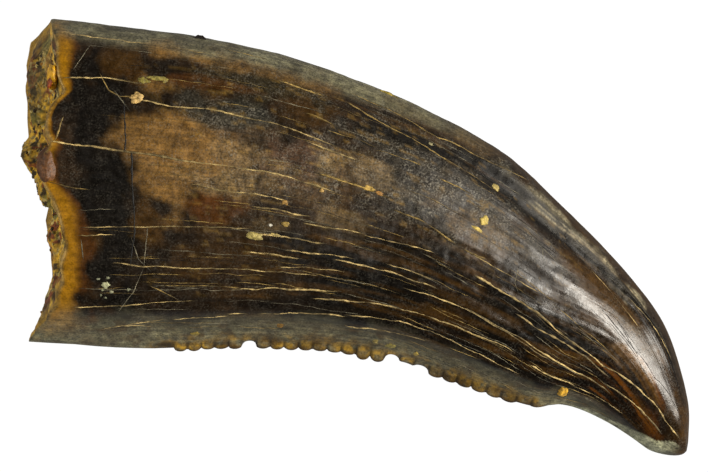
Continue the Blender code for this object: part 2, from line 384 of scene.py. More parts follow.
    def break_along(self, turn: Array) -> Array:
        """Where the break cuts the crown at each turn.

        Args:
            turn: Angles round the section.

        Returns:
            Places along the crown.
        """
        chord, height = self.section(turn)
        x = np.where(height >= 0, between(self.upper_break, chord), between(self.lower_break, chord))
        x = x + self.break_wander * lattice_noise(flat(turn * 9, np.sign(height)), 5) * (1 - chord**8)
        return np.interp(x, self.middle(self.fine)[:, 0], self.fine)

    def drift(self, along: Array) -> Array:
        """How far the strands of the enamel have swung towards the back edge, in chord, since the base."""
        return between(self.drifts, along)

    def core(self, along: float) -> Array:
        """The point in the middle of the section at a place along the crown."""
        return np.append(self.middle(along), self.half_thickness(along))

    def cavity(self, turns: Array, inset: float, ends_at: float, share: Array) -> Array:
        """Rings down the pulp hollow, which narrows as the square root of what is left of its length.

        Args:
            turns: Angles round the section, one for each column.
            inset: Thickness of the wall round it.
            ends_at: Where along the crown it ends.
            share: Place of each ring between the break, 0, and that end, 1.

        Returns:
            The points by ring and column.
        """
        mouth = self.break_along(turns)
        ring = self.inner_point(mouth + (ends_at - mouth) * share[:, None], turns, inset)
        axis = ring.mean(axis=1, keepdims=True)
        return axis + (ring - axis) * np.sqrt(1 - share)[:, None, None]

    def locate(self, x: float, y: float) -> tuple[float, float]:
        """The place along the crown and the chord of a point in the plan.

        It is where the half chord's line passes through the point: their cross product changes sign.

        Args:
            x: Its x.
            y: Its y.

        Returns:
            Its place along the crown, and its chord.
        """
        reach = np.array((x, y)) - self.middle(self.fine)
        half = self.half_chord(self.fine)
        cross = reach[:, 0] * half[:, 1] - reach[:, 1] * half[:, 0]
        chord = np.sum(reach * half, axis=1) / np.sum(half * half, axis=1)
        change = (cross[:-1] * cross[1:] <= 0) & (np.abs(chord[:-1]) < 1.3)
        i = int(np.argmax(change))
        t = cross[i] / (cross[i] - cross[i + 1])
        along = self.fine[i] + t * (self.fine[1] - self.fine[0])
        return float(along), float(chord[i] + t * (chord[i + 1] - chord[i]))


@dataclass(frozen=True)
class Denticles:
    """The thin ridge on the back edge and its row of denticles.

    Attributes:
        plain_at: Places along the crown where the plain ridge starts, has grown, fades and ends.
        plain_height: Height of the plain ridge.
        half_width: Half its width.
        first: Distance of the first denticle along the back edge, from behind the base.
        pitch: Spacing of the denticles at the base.
        growth: Added to the distance of denticle k, times k squared.
        heights: Height of each denticle over the plain ridge. Below zero is a chip.
    """

    plain_at: tuple[float, ...] = (0.08, 0.19, 0.77, 0.80)
    plain_height: float = 0.07
    half_width: float = 0.10
    first: float = 2.74
    pitch: float = 0.229
    growth: float = 0.00088
    heights: tuple[float, ...] = (
        (0.07, 0.07, 0.05, 0.05, 0.06, -0.08, 0.06, 0.07, 0.07, 0.06, 0.05, 0.05, 0.06)
        + (0.11, 0.10, -0.09, -0.02, -0.06, 0.06, 0.06, 0.06, 0.06, 0.06, 0.05, 0.00, 0.02)
    )

    def count_at(self, form: CrownForm, along: Array) -> Array:
        """How many denticles lie before a place, with a fraction for the part of the next one."""
        past = np.maximum(np.interp(along, form.fine, form.back_distance) - self.first, 0)
        return (np.sqrt(self.pitch**2 + 4 * self.growth * past) - self.pitch) / (2 * self.growth)

    def height(self, form: CrownForm, along: Array) -> Array:
        """How far the ridge stands out: its own height, and half an ellipse over each denticle.

        Args:
            form: The crown's plain shape.
            along: Places along the crown.

        Returns:
            The height at each place.
        """
        plain = self.plain_height * np.interp(along, self.plain_at, (0, 1, 1, 0))
        k = self.count_at(form, along)
        index = np.floor(k + 1e-6).astype(int)
        inside = (k > 0) & (index < len(self.heights))
        full = np.take(self.heights, np.clip(index, 0, len(self.heights) - 1))
        across = np.clip(2 * (k - index) - 1, -1, 1)
        return plain + np.where(inside, full * np.sqrt(1 - across * across), 0.0)


def shallower(along: Array) -> Array:
    """1 up to mid crown, and evenly less towards the tip."""
    return np.clip((1.1 - along) / 0.6, 0, 1)


@dataclass(frozen=True)
class Flute:
    """A long shallow groove in the enamel, or a ridge.

    Attributes:
        path: Places along the crown and the groove's chord there.
        depth: How deep it is. A ridge has a depth below zero.
        half_width: Half its width, in chord.
        fades_in: Where it starts and is whole, along the crown from the path's first place.
        fades_out: Where it is whole and ends, along the crown from the path's last place.
    """

    path: Pairs
    depth: float
    half_width: float
    fades_in: Range = (-0.09, 0.06)
    fades_out: Range = (-0.03, 0.05)

    def sunk(self, along: Array, chord: Array) -> Array:
        """Depth of the groove at a place: a bell curve across it, less deep towards the tip, faded at both
        ends.

        Args:
            along: Places along the crown.
            chord: The chords there.

        Returns:
            The depth.
        """
        first, last = self.path[0][0], self.path[-1][0]
        fade = ease(first + self.fades_in[0], first + self.fades_in[1], along)
        fade = fade * ease(last + self.fades_out[1], last + self.fades_out[0], along) * shallower(along)
        off_centre = (chord - between(self.path, along)) / self.half_width
        return self.depth * fade * np.exp(-(off_centre**2))


@dataclass(frozen=True)
class Fold:
    """A long step in the enamel: what lies on its front side is lower, which leaves a ridge on its other
    side.

    Attributes:
        path: Places along the crown and the chord of the step's middle there.
        depth: How deep the step is.
        width: Width of the step, in chord.
        grows: Where it starts and is whole, along the crown from the path's first place.
    """

    path: Pairs = (
        (0.68, 0.60), (0.76, 0.53), (0.80, 0.48), (0.83, 0.40), (0.87, 0.34), (0.90, 0.37),
        (0.93, 0.46), (0.96, 0.52),
    )
    depth: float = 0.20
    width: float = 0.60
    grows: Range = (-0.08, 0.10)

    def sunk(self, along: Array, chord: Array) -> Array:
        """How far the step sinks a place: grown from its first place on, and less deep towards the tip.

        Args:
            along: Places along the crown.
            chord: The chords there.

        Returns:
            The depth.
        """
        first = self.path[0][0]
        centre = between(self.path, along)
        grown = ease(first + self.grows[0], first + self.grows[1], along) * shallower(along)
        return self.depth * grown * ease(centre - self.width / 2, centre + self.width / 2, chord)


@dataclass(frozen=True)
class Ripple:
    """Noise of one size on the surface: its height, the size of its cells, and its seed."""

    height: float
    cell: float
    seed: int

    def over(self, place: Array) -> Array:
        """How far it lifts each place."""
        return self.height * cloud(place, self.cell, self.seed, 2)


@dataclass(frozen=True)
class Relief:
    """What stands out of the plain crown and is sunk in it, by up to a fifth of a millimetre.

    Attributes:
        flutes: The grooves and ridges.
        fold: The long step behind the tip.
        swells: Broad and finer swellings of the surface.
        pitting: The finest pits.
        strands: Fine ridges along the crown. Their noise is drawn out by strand_cell.
        strand_cell: Length and width of a strand.
        tip_calm: How much weaker all of the noise is at the tip.
    """

    flutes: tuple[Flute, ...] = (
        Flute(((0.40, 0.90), (0.58, 0.92)), 0.040, 0.030),
        Flute(((0.62, 0.92), (0.78, 0.90)), -0.060, 0.070),
        Flute(((0.42, 0.84), (0.60, 0.77), (0.70, 0.70), (0.76, 0.67), (0.82, 0.65)), 0.072, 0.095),
        Flute(((0.52, 0.46), (0.60, 0.38), (0.68, 0.26), (0.74, 0.12)), 0.020, 0.100),
        Flute(((0.00, -0.40), (0.30, -0.40)), 0.015, 0.060),
        Flute(((0.48, -0.22), (0.62, -0.26), (0.74, -0.36), (0.82, -0.46)), 0.012, 0.040),
        Flute(((0.40, -0.52), (0.60, -0.50), (0.74, -0.58), (0.84, -0.66)), 0.012, 0.040),
    )
    fold: Fold = Fold()
    swells: tuple[Ripple, ...] = (Ripple(0.014, 1.3, 11), Ripple(0.007, 0.42, 17))
    pitting: Ripple = Ripple(0.0022, 0.10, 23)
    strands: Ripple = Ripple(0.0045, 1.0, 31)
    strand_cell: Range = (1.6, 0.13)
    tip_calm: float = 0.72

    def outward(self, along: Array, chord: Array, flow: Array, point: Array) -> Array:
        """How far the surface stands out of the plain crown.

        Minus the flutes and the fold, plus broad and finer noise, plus noise drawn out along the crown, which
        makes strands and grows from the break to mid crown. All of the noise is weaker near the tip.

        Args:
            along: Places along the crown.
            chord: The chords there.
            flow: Texture places.
            point: The plain crown's points.

        Returns:
            The height over the plain crown, below zero where it is sunk.
        """
        sunk = sum(flute.sunk(along, chord) for flute in self.flutes) + self.fold.sunk(along, chord)
        drawn_out = flat(flow[..., 0] / self.strand_cell[0], flow[..., 1] / self.strand_cell[1])
        grown = 0.35 + ease(0.30, 0.65, along)
        noise = sum(swell.over(point) for swell in self.swells)
        noise = noise + grown * self.strands.over(drawn_out) + self.pitting.over(point)
        return noise * (1 - self.tip_calm * ease(0.62, 0.80, along)) - sunk


@dataclass
class CrownSurface:
    """The crown's finished outside, as rows from the break to the tip.

    Attributes:
        form: The plain shape.
        denticles: The serrated ridge.
        relief: The detail on the flanks.
        columns: Number of points round each row.
        break_rows: Rows between the break and the first row that runs straight across.
        straight_rows: Rows from there to where the tip rounds.
        tip_rows: Rows on the rounded tip.
        even_from: Where along the crown the straight rows start.
        measured_at: Where along the crown the section is measured, to space the columns.
        density: How close the columns are, on the upper flank, on the lower one, and besides on the back
            edge.
        edge_zone: How far from the back edge they are closer.
        bevel: How far the edge of the break is rounded off.
        bevel_width: How far the bevel reaches.
        strand_swing: How far the strands swing on the round of the flank, for a drift of 1.
    """

    form: CrownForm
    denticles: Denticles
    relief: Relief
    columns: int = 228
    break_rows: int = 38
    straight_rows: int = 320
    tip_rows: int = 18
    even_from: float = 0.12
    measured_at: float = 0.45
    density: Triple = (1.45, 0.8, 5.0)
    edge_zone: float = 0.13
    bevel: float = 0.014
    bevel_width: float = 0.05
    strand_swing: float = 2.4

    @functools.cached_property
    def measured(self) -> tuple[Array, Array]:
        """Closely spaced turns, and the points of the plain crown there, where the section is measured."""
        turn = np.linspace(0, FULL_TURN, 4001)
        return turn, self.form.inner_point(np.array(self.measured_at), turn, 0.0)

    @functools.cached_property
    def turns(self) -> Array:
        """The turn of each column: evenly spaced round the section, closer on the upper flank and on the
        ridge.

        Returns:
            The turns, from 0.
        """
        turn, ring = self.measured
        upper, lower, edge = self.density
        off_edge = (ring[:, 2] - ring[0, 2]) / self.edge_zone
        wanted = np.where(np.sin(turn) > 0, upper, lower) + edge * np.exp(-(off_edge**2)) * (np.cos(turn) < 0)
        steps = np.linalg.norm(np.diff(ring, axis=0), axis=1) * (wanted[:-1] + wanted[1:]) / 2
        count = np.concatenate(([0.0], np.cumsum(steps)))
        return np.interp(np.arange(self.columns) / self.columns * count[-1], count, turn)

    @functools.cached_property
    def lanes(self) -> Array:
        """Distance round the section at mid crown, in millimetres, for each column and once more for the
        first.
        """
        turn, ring = self.measured
        return np.interp(np.append(self.turns, FULL_TURN), turn, path_length(ring))

    @functools.cached_property
    def flow(self) -> Array:
        """Texture place of every point: distance along the crown, and round it less what its strands have
        drifted.

        The last column is the first one again, a whole turn on.

        Returns:
            Two distances for each point, in millimetres.
        """
        turns = np.append(self.turns, FULL_TURN)
        along = np.concatenate((self.along, self.along[:, :1]), axis=1)
        across = self.lanes + self.strand_swing * self.form.drift(along) * self.form.section(turns)[1]
        return np.stack((along * self.form.length, across), axis=-1)

    @functools.cached_property
    def straight(self) -> Array:
        """The place along the crown of each row that runs straight across.

        Returns:
            One place for each row.
        """
        body = np.linspace(self.even_from, self.form.tip_rounds_from, self.straight_rows, endpoint=False)
        quarter = np.linspace(0, math.pi / 2, self.tip_rows + 1)[:-1]
        cap = self.form.tip_rounds_from + (1 - self.form.tip_rounds_from) * np.sin(quarter)
        return np.concatenate((body, cap))

    @functools.cached_property
    def along(self) -> Array:
        """The place along the crown of every point of the grid.

        Returns:
            The places by row and column.
        """
        mouth = self.form.break_along(self.turns)
        share = np.arange(self.break_rows)[:, None] / self.break_rows
        near_break = mouth + (self.even_from - mouth) * share
        return np.concatenate((near_break, np.repeat(self.straight[:, None], self.columns, axis=1)))

    @functools.cached_property
    def chord(self) -> Array:
        """The chord of every point of the grid."""
        return np.broadcast_to(self.form.section(self.turns)[0], self.along.shape)

    @functools.cached_property
    def upper(self) -> Array:
        """Which points of the grid are on the upper flank."""
        return np.broadcast_to(np.sin(self.turns) >= 0, self.along.shape)

    @functools.cached_property
    def from_break(self) -> Array:
        """Distance of every point of the grid from the break, along the crown."""
        return (self.along - self.form.break_along(self.turns)) * self.form.length

    @functools.cached_property
    def point(self) -> Array:
        """Every point of the grid.

        The plain crown, with its ridge pushed out in the plan, and its relief along the normal, less on the
        ridge. The lowest strip is worn flat.

        Returns:
            The points by row and column.
        """
        plain = self.form.inner_point(self.along, self.turns, 0.0)
        height = self.form.section(self.turns)[1]
        half = self.form.half_chord(self.along)
        outward = -half / np.linalg.norm(half, axis=-1, keepdims=True)
        off_edge = height * self.form.half_thickness(self.along) / self.denticles.half_width
        on_ridge = np.exp(-(off_edge**2)) * (self.chord < 0)
        plain[..., 0:2] += outward * (self.denticles.height(self.form, self.along) * on_ridge)[..., None]
        relief = self.relief.outward(self.along, self.chord, self.flow[:, :-1], plain)
        bevel = self.bevel * (1 - ease(0.0, self.bevel_width, self.from_break)) ** 2
        out = (relief * self.form.tip_factor(self.along) ** 0.5 - bevel)[..., None] * grid_normals(plain)
        made = plain + out * (1 - 0.8 * on_ridge)[..., None]
        made[..., 2] = np.maximum(made[..., 2] - self.form.rest_flat, 0.0)
        return made

    @functools.cached_property
    def tip(self) -> Array:
        """The point in which the rows end."""
        end = self.form.inner_point(np.array(1.0), np.array(0.0), 0.0)
        return end - np.array((0, 0, self.form.rest_flat))

    @functools.cached_property
    def normal(self) -> Array:
        """The outward normal at every point of the grid."""
        return grid_normals(self.point)

    def sample(self, along: Array, turn: Array) -> tuple[Array, Array]:
        """Points and normals between those of the grid.

        Args:
            along: Places along the crown.
            turn: Angles round the section, from 0 to a full turn.

        Returns:
            The points and the normals there, blended from the four grid points around each.
        """
        mouth = self.form.break_along(turn)
        near = self.break_rows * (along - mouth) / (self.even_from - mouth)
        far = self.break_rows + np.interp(along, self.straight, np.arange(len(self.straight)))
        row = np.clip(np.where(along < self.even_from, near, far), 0, len(self.along) - 1.001)
        column = np.interp(turn, np.append(self.turns, FULL_TURN), np.arange(self.columns + 1))
        column = np.clip(column, 0, self.columns - 0.001)
        r, c = row.astype(int), column.astype(int)
        s, t = (row - r)[..., None], (column - c)[..., None]
        following = (c + 1) % self.columns
        mixed = []
        for values in (self.point, self.normal):
            low = values[r, c] * (1 - t) + values[r, following] * t
            high = values[r + 1, c] * (1 - t) + values[r + 1, following] * t
            mixed.append(low * (1 - s) + high * s)
        return mixed[0], mixed[1] / np.linalg.norm(mixed[1], axis=-1, keepdims=True)


def grid_normals(point: Array) -> Array:
    """Outward normals of a grid that closes on itself round its columns: the cross product of its two
    directions.

    Args:
        point: Points, in millimetres.

    Returns:
        One unit vector for each point.
    """
    down = np.gradient(point, axis=0)
    round_it = np.roll(point, -1, axis=1) - np.roll(point, 1, axis=1)
    normal = np.cross(round_it, down)
    return normal / np.maximum(np.linalg.norm(normal, axis=-1, keepdims=True), 1e-12)


def quads_between(index: Array) -> Array:
    """Corner indices of the faces between the rings of a grid that closes on itself round its columns."""
    beside = np.roll(index, -1, axis=1)
    return np.stack((index[:-1], beside[:-1], beside[1:], index[1:]), axis=-1).reshape(-1, 4)


@dataclass
class Shell:
    """A closed skin: rings joined one to the next, with a pole at each end.

    Attributes:
        rings: The rings' points, by ring and by column.
        poles: The first and the last point, in which the skin closes.
        flow: Texture place of each ring point. Its last column is the first one again, a whole turn on.
    """

    rings: Array
    poles: tuple[Array, Array]
    flow: Array | None = None

    @classmethod
    def closed(cls, rings: Array) -> "Shell":
        """A skin that closes in the middles of its first and last ring."""
        return cls(rings, (rings[0].mean(axis=0), rings[-1].mean(axis=0)))

    def points(self) -> Array:
        """Every point: the rings', then the two poles."""
        return np.concatenate((self.rings.reshape(-1, 3), np.array(self.poles)))

    def faces(self) -> tuple[Array, Array]:
        """Corner indices of the four-sided faces between rings, and of the triangles round the poles.

        Returns:
            The four-sided faces, and the triangles.
        """
        rows, columns = self.rings.shape[:2]
        index = np.arange(rows * columns).reshape(rows, columns)
        pole = np.full(columns, rows * columns)
        start = np.stack((np.roll(index[0], -1), index[0], pole), axis=-1)
        end = np.stack((index[-1], np.roll(index[-1], -1), pole + 1), axis=-1)
        return quads_between(index), np.concatenate((start, end))

    def corner_texture(self) -> Array:
        """Texture place of each face corner, in the order of the faces.

        Returns:
            One place for each corner.
        """
        own, beside = self.flow[:, :-1], self.flow[:, 1:]
        quads = np.stack((own[:-1], beside[:-1], beside[1:], own[1:]), axis=2)
        start = np.stack((beside[0], own[0], (own[0] + beside[0]) / 2), axis=1)
        end = np.stack((own[-1], beside[-1], (own[-1] + beside[-1]) / 2), axis=1)
        return np.concatenate([corners.reshape(-1, 2) for corners in (quads, start, end)])

    def make(self, name: str) -> Piece:
        """The skin as a mesh object in metres, shaded smooth.

        Args:
            name: The piece's name.

        Returns:
            The object, in the scene.
        """
        quads, triangles = self.faces()
        made = mesh_object(name, self.points(), quads.tolist() + triangles.tolist())
        if self.flow is not None:
            layer = made.data.uv_layers.new(name="flow")
            layer.data.foreach_set("uv", self.corner_texture().astype(np.float32).ravel())
        return made


def mesh_object(name: str, points: Array, faces: list[list[int]]) -> Piece:
    """A smooth mesh object at the origin.

    Args:
        name: The piece's name.
        points: Its vertices, in millimetres.
        faces: Its faces, as vertex indices that run anticlockwise seen from outside.

    Returns:
        The object, in the scene.
    """
    mesh = bpy.data.meshes.new(name)
    mesh.from_pydata((points * MM).tolist(), [], faces)
    mesh.shade_smooth()
    made = bpy.data.objects.new(name, mesh)
    bpy.context.scene.collection.objects.link(made)
    return made


def with_poles(values: Array) -> Array:
    """Values of the ring points, and those of the two poles, which take the first and the last one's."""
    return np.concatenate((values, values[:1], values[-1:]))


def add_values(piece: Piece, name: str, values: Array) -> None:
    """Stores one number, or one colour, for each vertex of a piece.

    Args:
        piece: The piece.
        name: The attribute's name.
        values: One number or one row of three for each vertex.
    """
    if values.ndim == 1:
        layer = piece.data.attributes.new(name, "FLOAT", "POINT")
        layer.data.foreach_set("value", values.astype(np.float32))
        return
    layer = piece.data.attributes.new(name, "FLOAT_COLOR", "POINT")
    rgba = np.concatenate((np.clip(values, 0, 1), np.ones((len(values), 1))), axis=1)
    layer.data.foreach_set("color", rgba.astype(np.float32).ravel())


@dataclass
class Heap:
    """Many small closed skins, gathered for one mesh of sediment.

    Attributes:
        points: The points of each skin.
        faces: All faces so far, as vertex indices.
        colours: The colours of each skin's points.
    """

    points: list[Array] = field(default_factory=list)
    faces: list[list[int]] = field(default_factory=list)
    colours: list[Array] = field(default_factory=list)

    def add(self, points: Array, faces: tuple[Array, ...], colours: Array) -> None:
        """Adds a skin.

        Args:
            points: Its points.
            faces: Its faces, as arrays of corner indices from 0.
            colours: One colour for the whole skin, or one for each point.
        """
        start = sum(len(part) for part in self.points)
        for part in faces:
            self.faces += (part + start).tolist()
        self.points.append(points)
        self.colours.append(np.broadcast_to(colours, points.shape))

    def make(self, name: str, finish: "CrumbFinish") -> Piece:
        """All the skins as one piece of sediment, with a finish that takes their colours.

        Args:
            name: Its name.
            finish: The finish.

        Returns:
            The piece.
        """
        made = mesh_object(name, np.concatenate(self.points), self.faces)
        add_values(made, "tint", np.concatenate(self.colours))
        made.data.materials.append(finish.material())
        return dressed(made)


@dataclass(frozen=True)
class Stain:
    """A patch of one tone on the enamel, drawn out along the crown: mostly a stain of the enamel, some
    patches painted sheen, highlight, reflection and shade.

    Attributes:
        x, y: Its middle, in the plan.
        length: Half its length along the crown.
        width: Half its width across it.
        tone: What it looks like.
        strength: How much it covers what is under it.
    """

    x: float
    y: float
    length: float
    width: float
    tone: Tone
    strength: float


# Each stain's x and y, half its length and half its width, its tone and its strength. The sheen, highlight
# and reflection tones, and a few named dark patches, are painted light and shade.
STAINS = tuple(Stain(*row) for row in (
    (-1.96, 1.58, 1.40, 0.55, Tone.TAUPE, 0.55), (-0.93, 1.32, 1.03, 0.41, Tone.PLUM, 0.60),
    (-4.21, 0.81, 0.51, 2.90, Tone.INKY, 0.95), (-4.01, 3.03, 0.27, 0.27, Tone.UMBER, 0.85),
    (-3.72, 2.90, 0.17, 0.38, Tone.UMBER, 0.60), (-2.55, 3.08, 0.94, 0.17, Tone.AMBER, 0.80),
    (-3.32, 1.80, 0.58, 0.44, Tone.AMBER, 0.90), (-2.55, 1.50, 0.68, 0.34, Tone.AMBER, 0.55),
    (-3.12, 0.90, 0.51, 0.58, Tone.AMBER, 0.85), (-3.49, 0.38, 0.27, 0.38, Tone.UMBER, 0.80),
    (-2.38, 0.56, 0.58, 0.29, Tone.RUST, 0.75), (-1.79, 0.09, 1.20, 0.14, Tone.UMBER, 0.50),
    (-0.42, 0.09, 0.85, 0.27, Tone.UMBER, 0.70), (-2.13, 2.14, 0.82, 0.26, Tone.SLATE, 0.80),
    (-1.44, 2.61, 1.03, 0.38, Tone.OLIVE, 0.70), (-0.93, 0.81, 0.85, 0.24, Tone.TAUPE, 0.50),
    (-4.01, -0.42, 0.44, 0.44, Tone.INKY, 0.70), (-1.96, -0.42, 1.54, 0.34, Tone.UMBER, 0.55),
    (-0.42, -0.78, 1.03, 0.17, Tone.UMBER, 0.55), (-2.20, 0.98, 0.66, 0.42, Tone.FAWN, 0.75),
    (-2.57, 1.36, 0.45, 0.30, Tone.AMBER, 0.70), (-1.75, 1.42, 0.45, 0.22, Tone.FAWN, 0.50),
    (-1.34, 0.18, 0.40, 0.16, Tone.FAWN, 0.65), (-0.05, 0.18, 0.45, 0.26, Tone.FAWN, 0.85),
    (-3.39, 2.62, 0.32, 0.22, Tone.AMBER, 0.70), (1.63, 0.98, 1.88, 0.72, Tone.STEEL, 0.75),
    (0.18, 1.10, 0.54, 0.38, Tone.FAWN, 0.90), (1.94, 1.80, 0.50, 0.24, Tone.FAWN, 0.40),
    (0.78, 0.56, 1.03, 0.44, Tone.STEEL, 0.50), (2.66, 0.04, 0.82, 0.38, Tone.SILVER, 0.30),
    (1.96, 0.14, 0.45, 0.20, Tone.UMBER, 0.50), (2.14, 0.21, 0.68, 0.27, Tone.TAUPE, 0.60),
    (0.78, -0.85, 1.75, 0.46, Tone.INKY, 0.95), (1.05, -0.22, 0.95, 0.24, Tone.INKY, 0.95),
    (0.18, -0.59, 0.70, 0.17, Tone.INKY, 0.80), (-1.10, 2.72, 0.90, 0.13, Tone.AMBER, 0.55),
    (-2.50, 2.62, 1.20, 0.10, Tone.RUST, 0.35), (2.90, -1.45, 1.40, 0.42, Tone.INKY, 0.85),
    (3.94, -1.92, 0.68, 0.27, Tone.UMBER, 0.60), (4.45, -2.61, 0.94, 0.31, Tone.RUST, 0.80),
    (5.05, -3.20, 0.44, 0.21, Tone.RUST, 0.70), (4.98, -2.40, 0.62, 0.15, Tone.RUST, 0.75),
    # The amber stain at 4.78, -2.20 is partly the reddish brown under the ridge, partly a painted warm edge
    # of its highlight.
    (4.78, -2.20, 0.75, 0.15, Tone.AMBER, 0.60), (4.79, -1.50, 0.68, 0.24, Tone.TAUPE, 0.50),
    # The umber stain at 4.45, -0.98 and the inky one at 3.12, 0.30 are painted shade in the groove behind the
    # front edge.
    (4.45, -0.98, 1.40, 0.17, Tone.UMBER, 0.90), (3.75, 0.08, 1.20, 0.19, Tone.BAND, 0.95),
    (3.12, 0.30, 0.55, 0.07, Tone.INKY, 0.80),
))

# How wide the honey-coloured band beside the break is on the upper flank: y, then width.
BREAK_BAND = (
    (-1.90, 0.98), (-1.42, 0.70), (-1.07, 0.42), (-0.43, 0.42), (0.00, 0.34), (0.50, 0.48),
    (0.80, 0.40), (1.00, 0.26), (1.60, 0.20), (1.75, 0.13), (2.38, 0.15), (2.62, 0.26), (3.20, 0.38),
    (3.70, 0.44),
)


@dataclass
class EnamelPaint:
    """Works out the colour, specks and roughness of the enamel at every point of the grid.

    Attributes:
        surface: The crown.
        stains: The patches on its flanks: stains, and patches of painted sheen, highlight, reflection and
            shade.
        mirrored_shift: How far the lower flank's stains lie further along the crown than the upper one's.
        tip_polish: How much less rough the enamel is near the tip.
        low_polish: How much less rough it is low on the flank, at mid crown.
        lower_band: Width of the band beside the break on the lower flank.
        worn_reach: Place along the crown, and the chord up to which the worn facet behind the tip reaches
            there.
        look: Red, green, blue, painted glints and roughness of each point, as far as they are laid.
    """

    surface: CrownSurface
    stains: tuple[Stain, ...] = STAINS
    mirrored_shift: float = 0.03
    tip_polish: float = 0.13
    low_polish: float = 0.10
    lower_band: float = 0.45
    worn_reach: Pairs = (
        (0.78, -1.10), (0.82, -0.97), (0.86, -0.93), (0.90, -0.86), (0.93, -0.76), (0.96, -0.60),
        (0.98, -0.20),
    )
    look: Array = field(init=False)

    def stain_mask(self, stain: Stain, ragged: Array) -> Array:
        """How much a stain covers each point: 1 inside an ellipse laid along the crown, with a ragged soft
        edge.

        Args:
            stain: The stain.
            ragged: Noise that makes the layers' edges ragged.

        Returns:
            The cover, from 0 to 1.
        """
        surface = self.surface
        along, chord = surface.form.locate(stain.x, stain.y)
        shift = np.where(surface.upper, 0.0, self.mirrored_shift)
        du = (surface.along - along - shift) * surface.form.length / stain.length
        dv = (surface.chord - chord + 2 * shift) * surface.form.half_width(along) / stain.width
        reach = np.sqrt(du * du + dv * dv) + 0.55 * ragged
        return stain.strength * ease(1.28, 0.66, reach)

    def paint(self) -> tuple[Array, Array, Array]:
        """The colour, painted glints and roughness of every point: each layer is laid over those before it.

        At last the enamel is polished near the tip and low on the flank, and fine noise shades its colour.

        Returns:
            The three, by row and column.
        """
        surface = self.surface
        point = surface.point
        ragged = cloud(point, 0.55, 41, 5)
        self.look = np.empty(point.shape[:2] + (5,))
        self.look[:] = Tone.BROWN.value.look()
        self.lay(Tone.UMBER, 0.7 * ease(0.05, 0.55, cloud(point, 0.8, 47, 3)))
        self.lay(Tone.INKY, 0.6 * ease(0.10, 0.60, cloud(point, 0.9, 53, 3)))
        for stain in self.stains:
            self.lay(stain.tone, self.stain_mask(stain, ragged))
        self.lay_streaks()
        self.lay_break(ragged)
        self.lay_edges(ragged)
        self.lay_denticles(ragged)
        colour, specks, roughness = self.look[..., 0:3], self.look[..., 3], self.look[..., 4]
        roughness -= self.tip_polish * ease(0.66, 0.80, surface.along) * (np.abs(surface.chord) < 0.8)
        low = ease(0.30, 0.0, surface.chord + 0.8 * (surface.along - 0.6)) * ease(-0.80, -0.70, surface.chord)
        roughness -= self.low_polish * low * ease(0.40, 0.55, surface.along) * ease(0.80, 0.68, surface.along)
        shade = 1 + (0.12 + 0.22 * specks) * cloud(point, 0.14, 61, 3)
        colour *= shade[..., None]
        return colour, specks, roughness

    def lay(self, tone: Tone, mask: Array) -> None:
        """Covers the look so far with a tone, as far as the mask says."""
        self.look += (tone.value.look() - self.look) * np.clip(mask, 0, 1)[..., None]

    def lay_streaks(self) -> None:
        """Dark and light streaks along the crown, low on the flank and in the flutes near the front edge.

        They are noise drawn out along the enamel's strands. Ochre flecks, shorter and finer, lie between the
        zones.
        """
        surface = self.surface
        along, chord = surface.along, surface.chord
        past = along - 0.6
        low = ease(0.20, -0.15, chord - 0.5 * np.minimum(past, 0.10 - 0.5 * past)) * ease(0.18, 0.45, along)
        high = ease(0.60, 0.72, chord) * ease(0.90, 0.84, chord) * ease(0.36, 0.46, along)
        zone = np.clip(low + high, 0, 1) * ease(0.97, 0.90, along)
        for seed, length, width in ((301, 2.0, 0.16), (303, 1.1, 0.075)):
            noise = self.drawn_out(length, width, seed)
            self.lay(Tone.INKY, 0.9 * zone * ease(-0.16, 0.22, noise))
            self.lay(Tone.UMBER, 0.45 * zone * ease(-0.28, -0.65, noise))
        flecks = ease(0.70, 0.90, self.drawn_out(0.24, 0.04, 305))
        middle = ease(0.12, 0.30, along) * ease(0.82, 0.64, along)
        middle = middle * ease(-0.75, -0.60, chord) * ease(0.86, 0.80, chord)
        self.lay(Tone.OCHRE, 0.40 * middle * (1 - low) * flecks)

    def drawn_out(self, length: float, width: float, seed: int) -> Array:
        """Noise whose cells have the given length and width along the enamel's strands."""
        flow = self.surface.flow[:, :-1]
        return cloud(flat(flow[..., 0] / length, flow[..., 1] / width), 1.0, seed, 2)

    def lay_edges(self, ragged: Array) -> None:
        """The grey-brown bands along both edges of the crown, partly the enamel's own grey and partly painted
        reflection of the bright floor at grazing angles, patched with brown, and the worn facet behind the
        tip.

        The front edge's band narrows from mid crown on, and turns brown.

        Args:
            ragged: Noise that makes the layers' edges ragged.
        """
        surface = self.surface
        chord = surface.chord + 0.02 * ragged
        along = surface.along
        patches = cloud(surface.point, 0.30, 57, 4)
        back = ease(-0.74, -0.95, chord + 0.05 * patches)
        # Back edge band: partly own grey, partly painted reflection of the floor.
        self.lay(Tone.ASH, back * (0.78 + 0.35 * patches) * ease(0.98, 0.80, along))
        self.lay(Tone.UMBER, 0.6 * back * ease(0.35, 0.75, cloud(surface.point, 0.22, 59, 3)))
        narrowed = 0.07 * ease(0.42, 0.60, along)
        front = ease(0.84 + narrowed, 0.93 + 0.6 * narrowed, chord)
        # Front edge band: partly own grey, partly painted reflection of the floor.
        self.lay(Tone.ASH, front * (0.75 + 0.3 * patches) * ease(0.66, 0.46, along))
        self.lay(Tone.MOSS, 0.8 * front * ease(0.48, 0.64, along))
        past_facet = surface.chord - between(self.worn_reach, along) + 0.03 * ragged
        facet = ease(0.0, -0.05, past_facet) * ease(0.0, 0.02, along - 0.79)
        self.lay(Tone.WORN, 0.95 * facet * ease(0.995, 0.97, along))

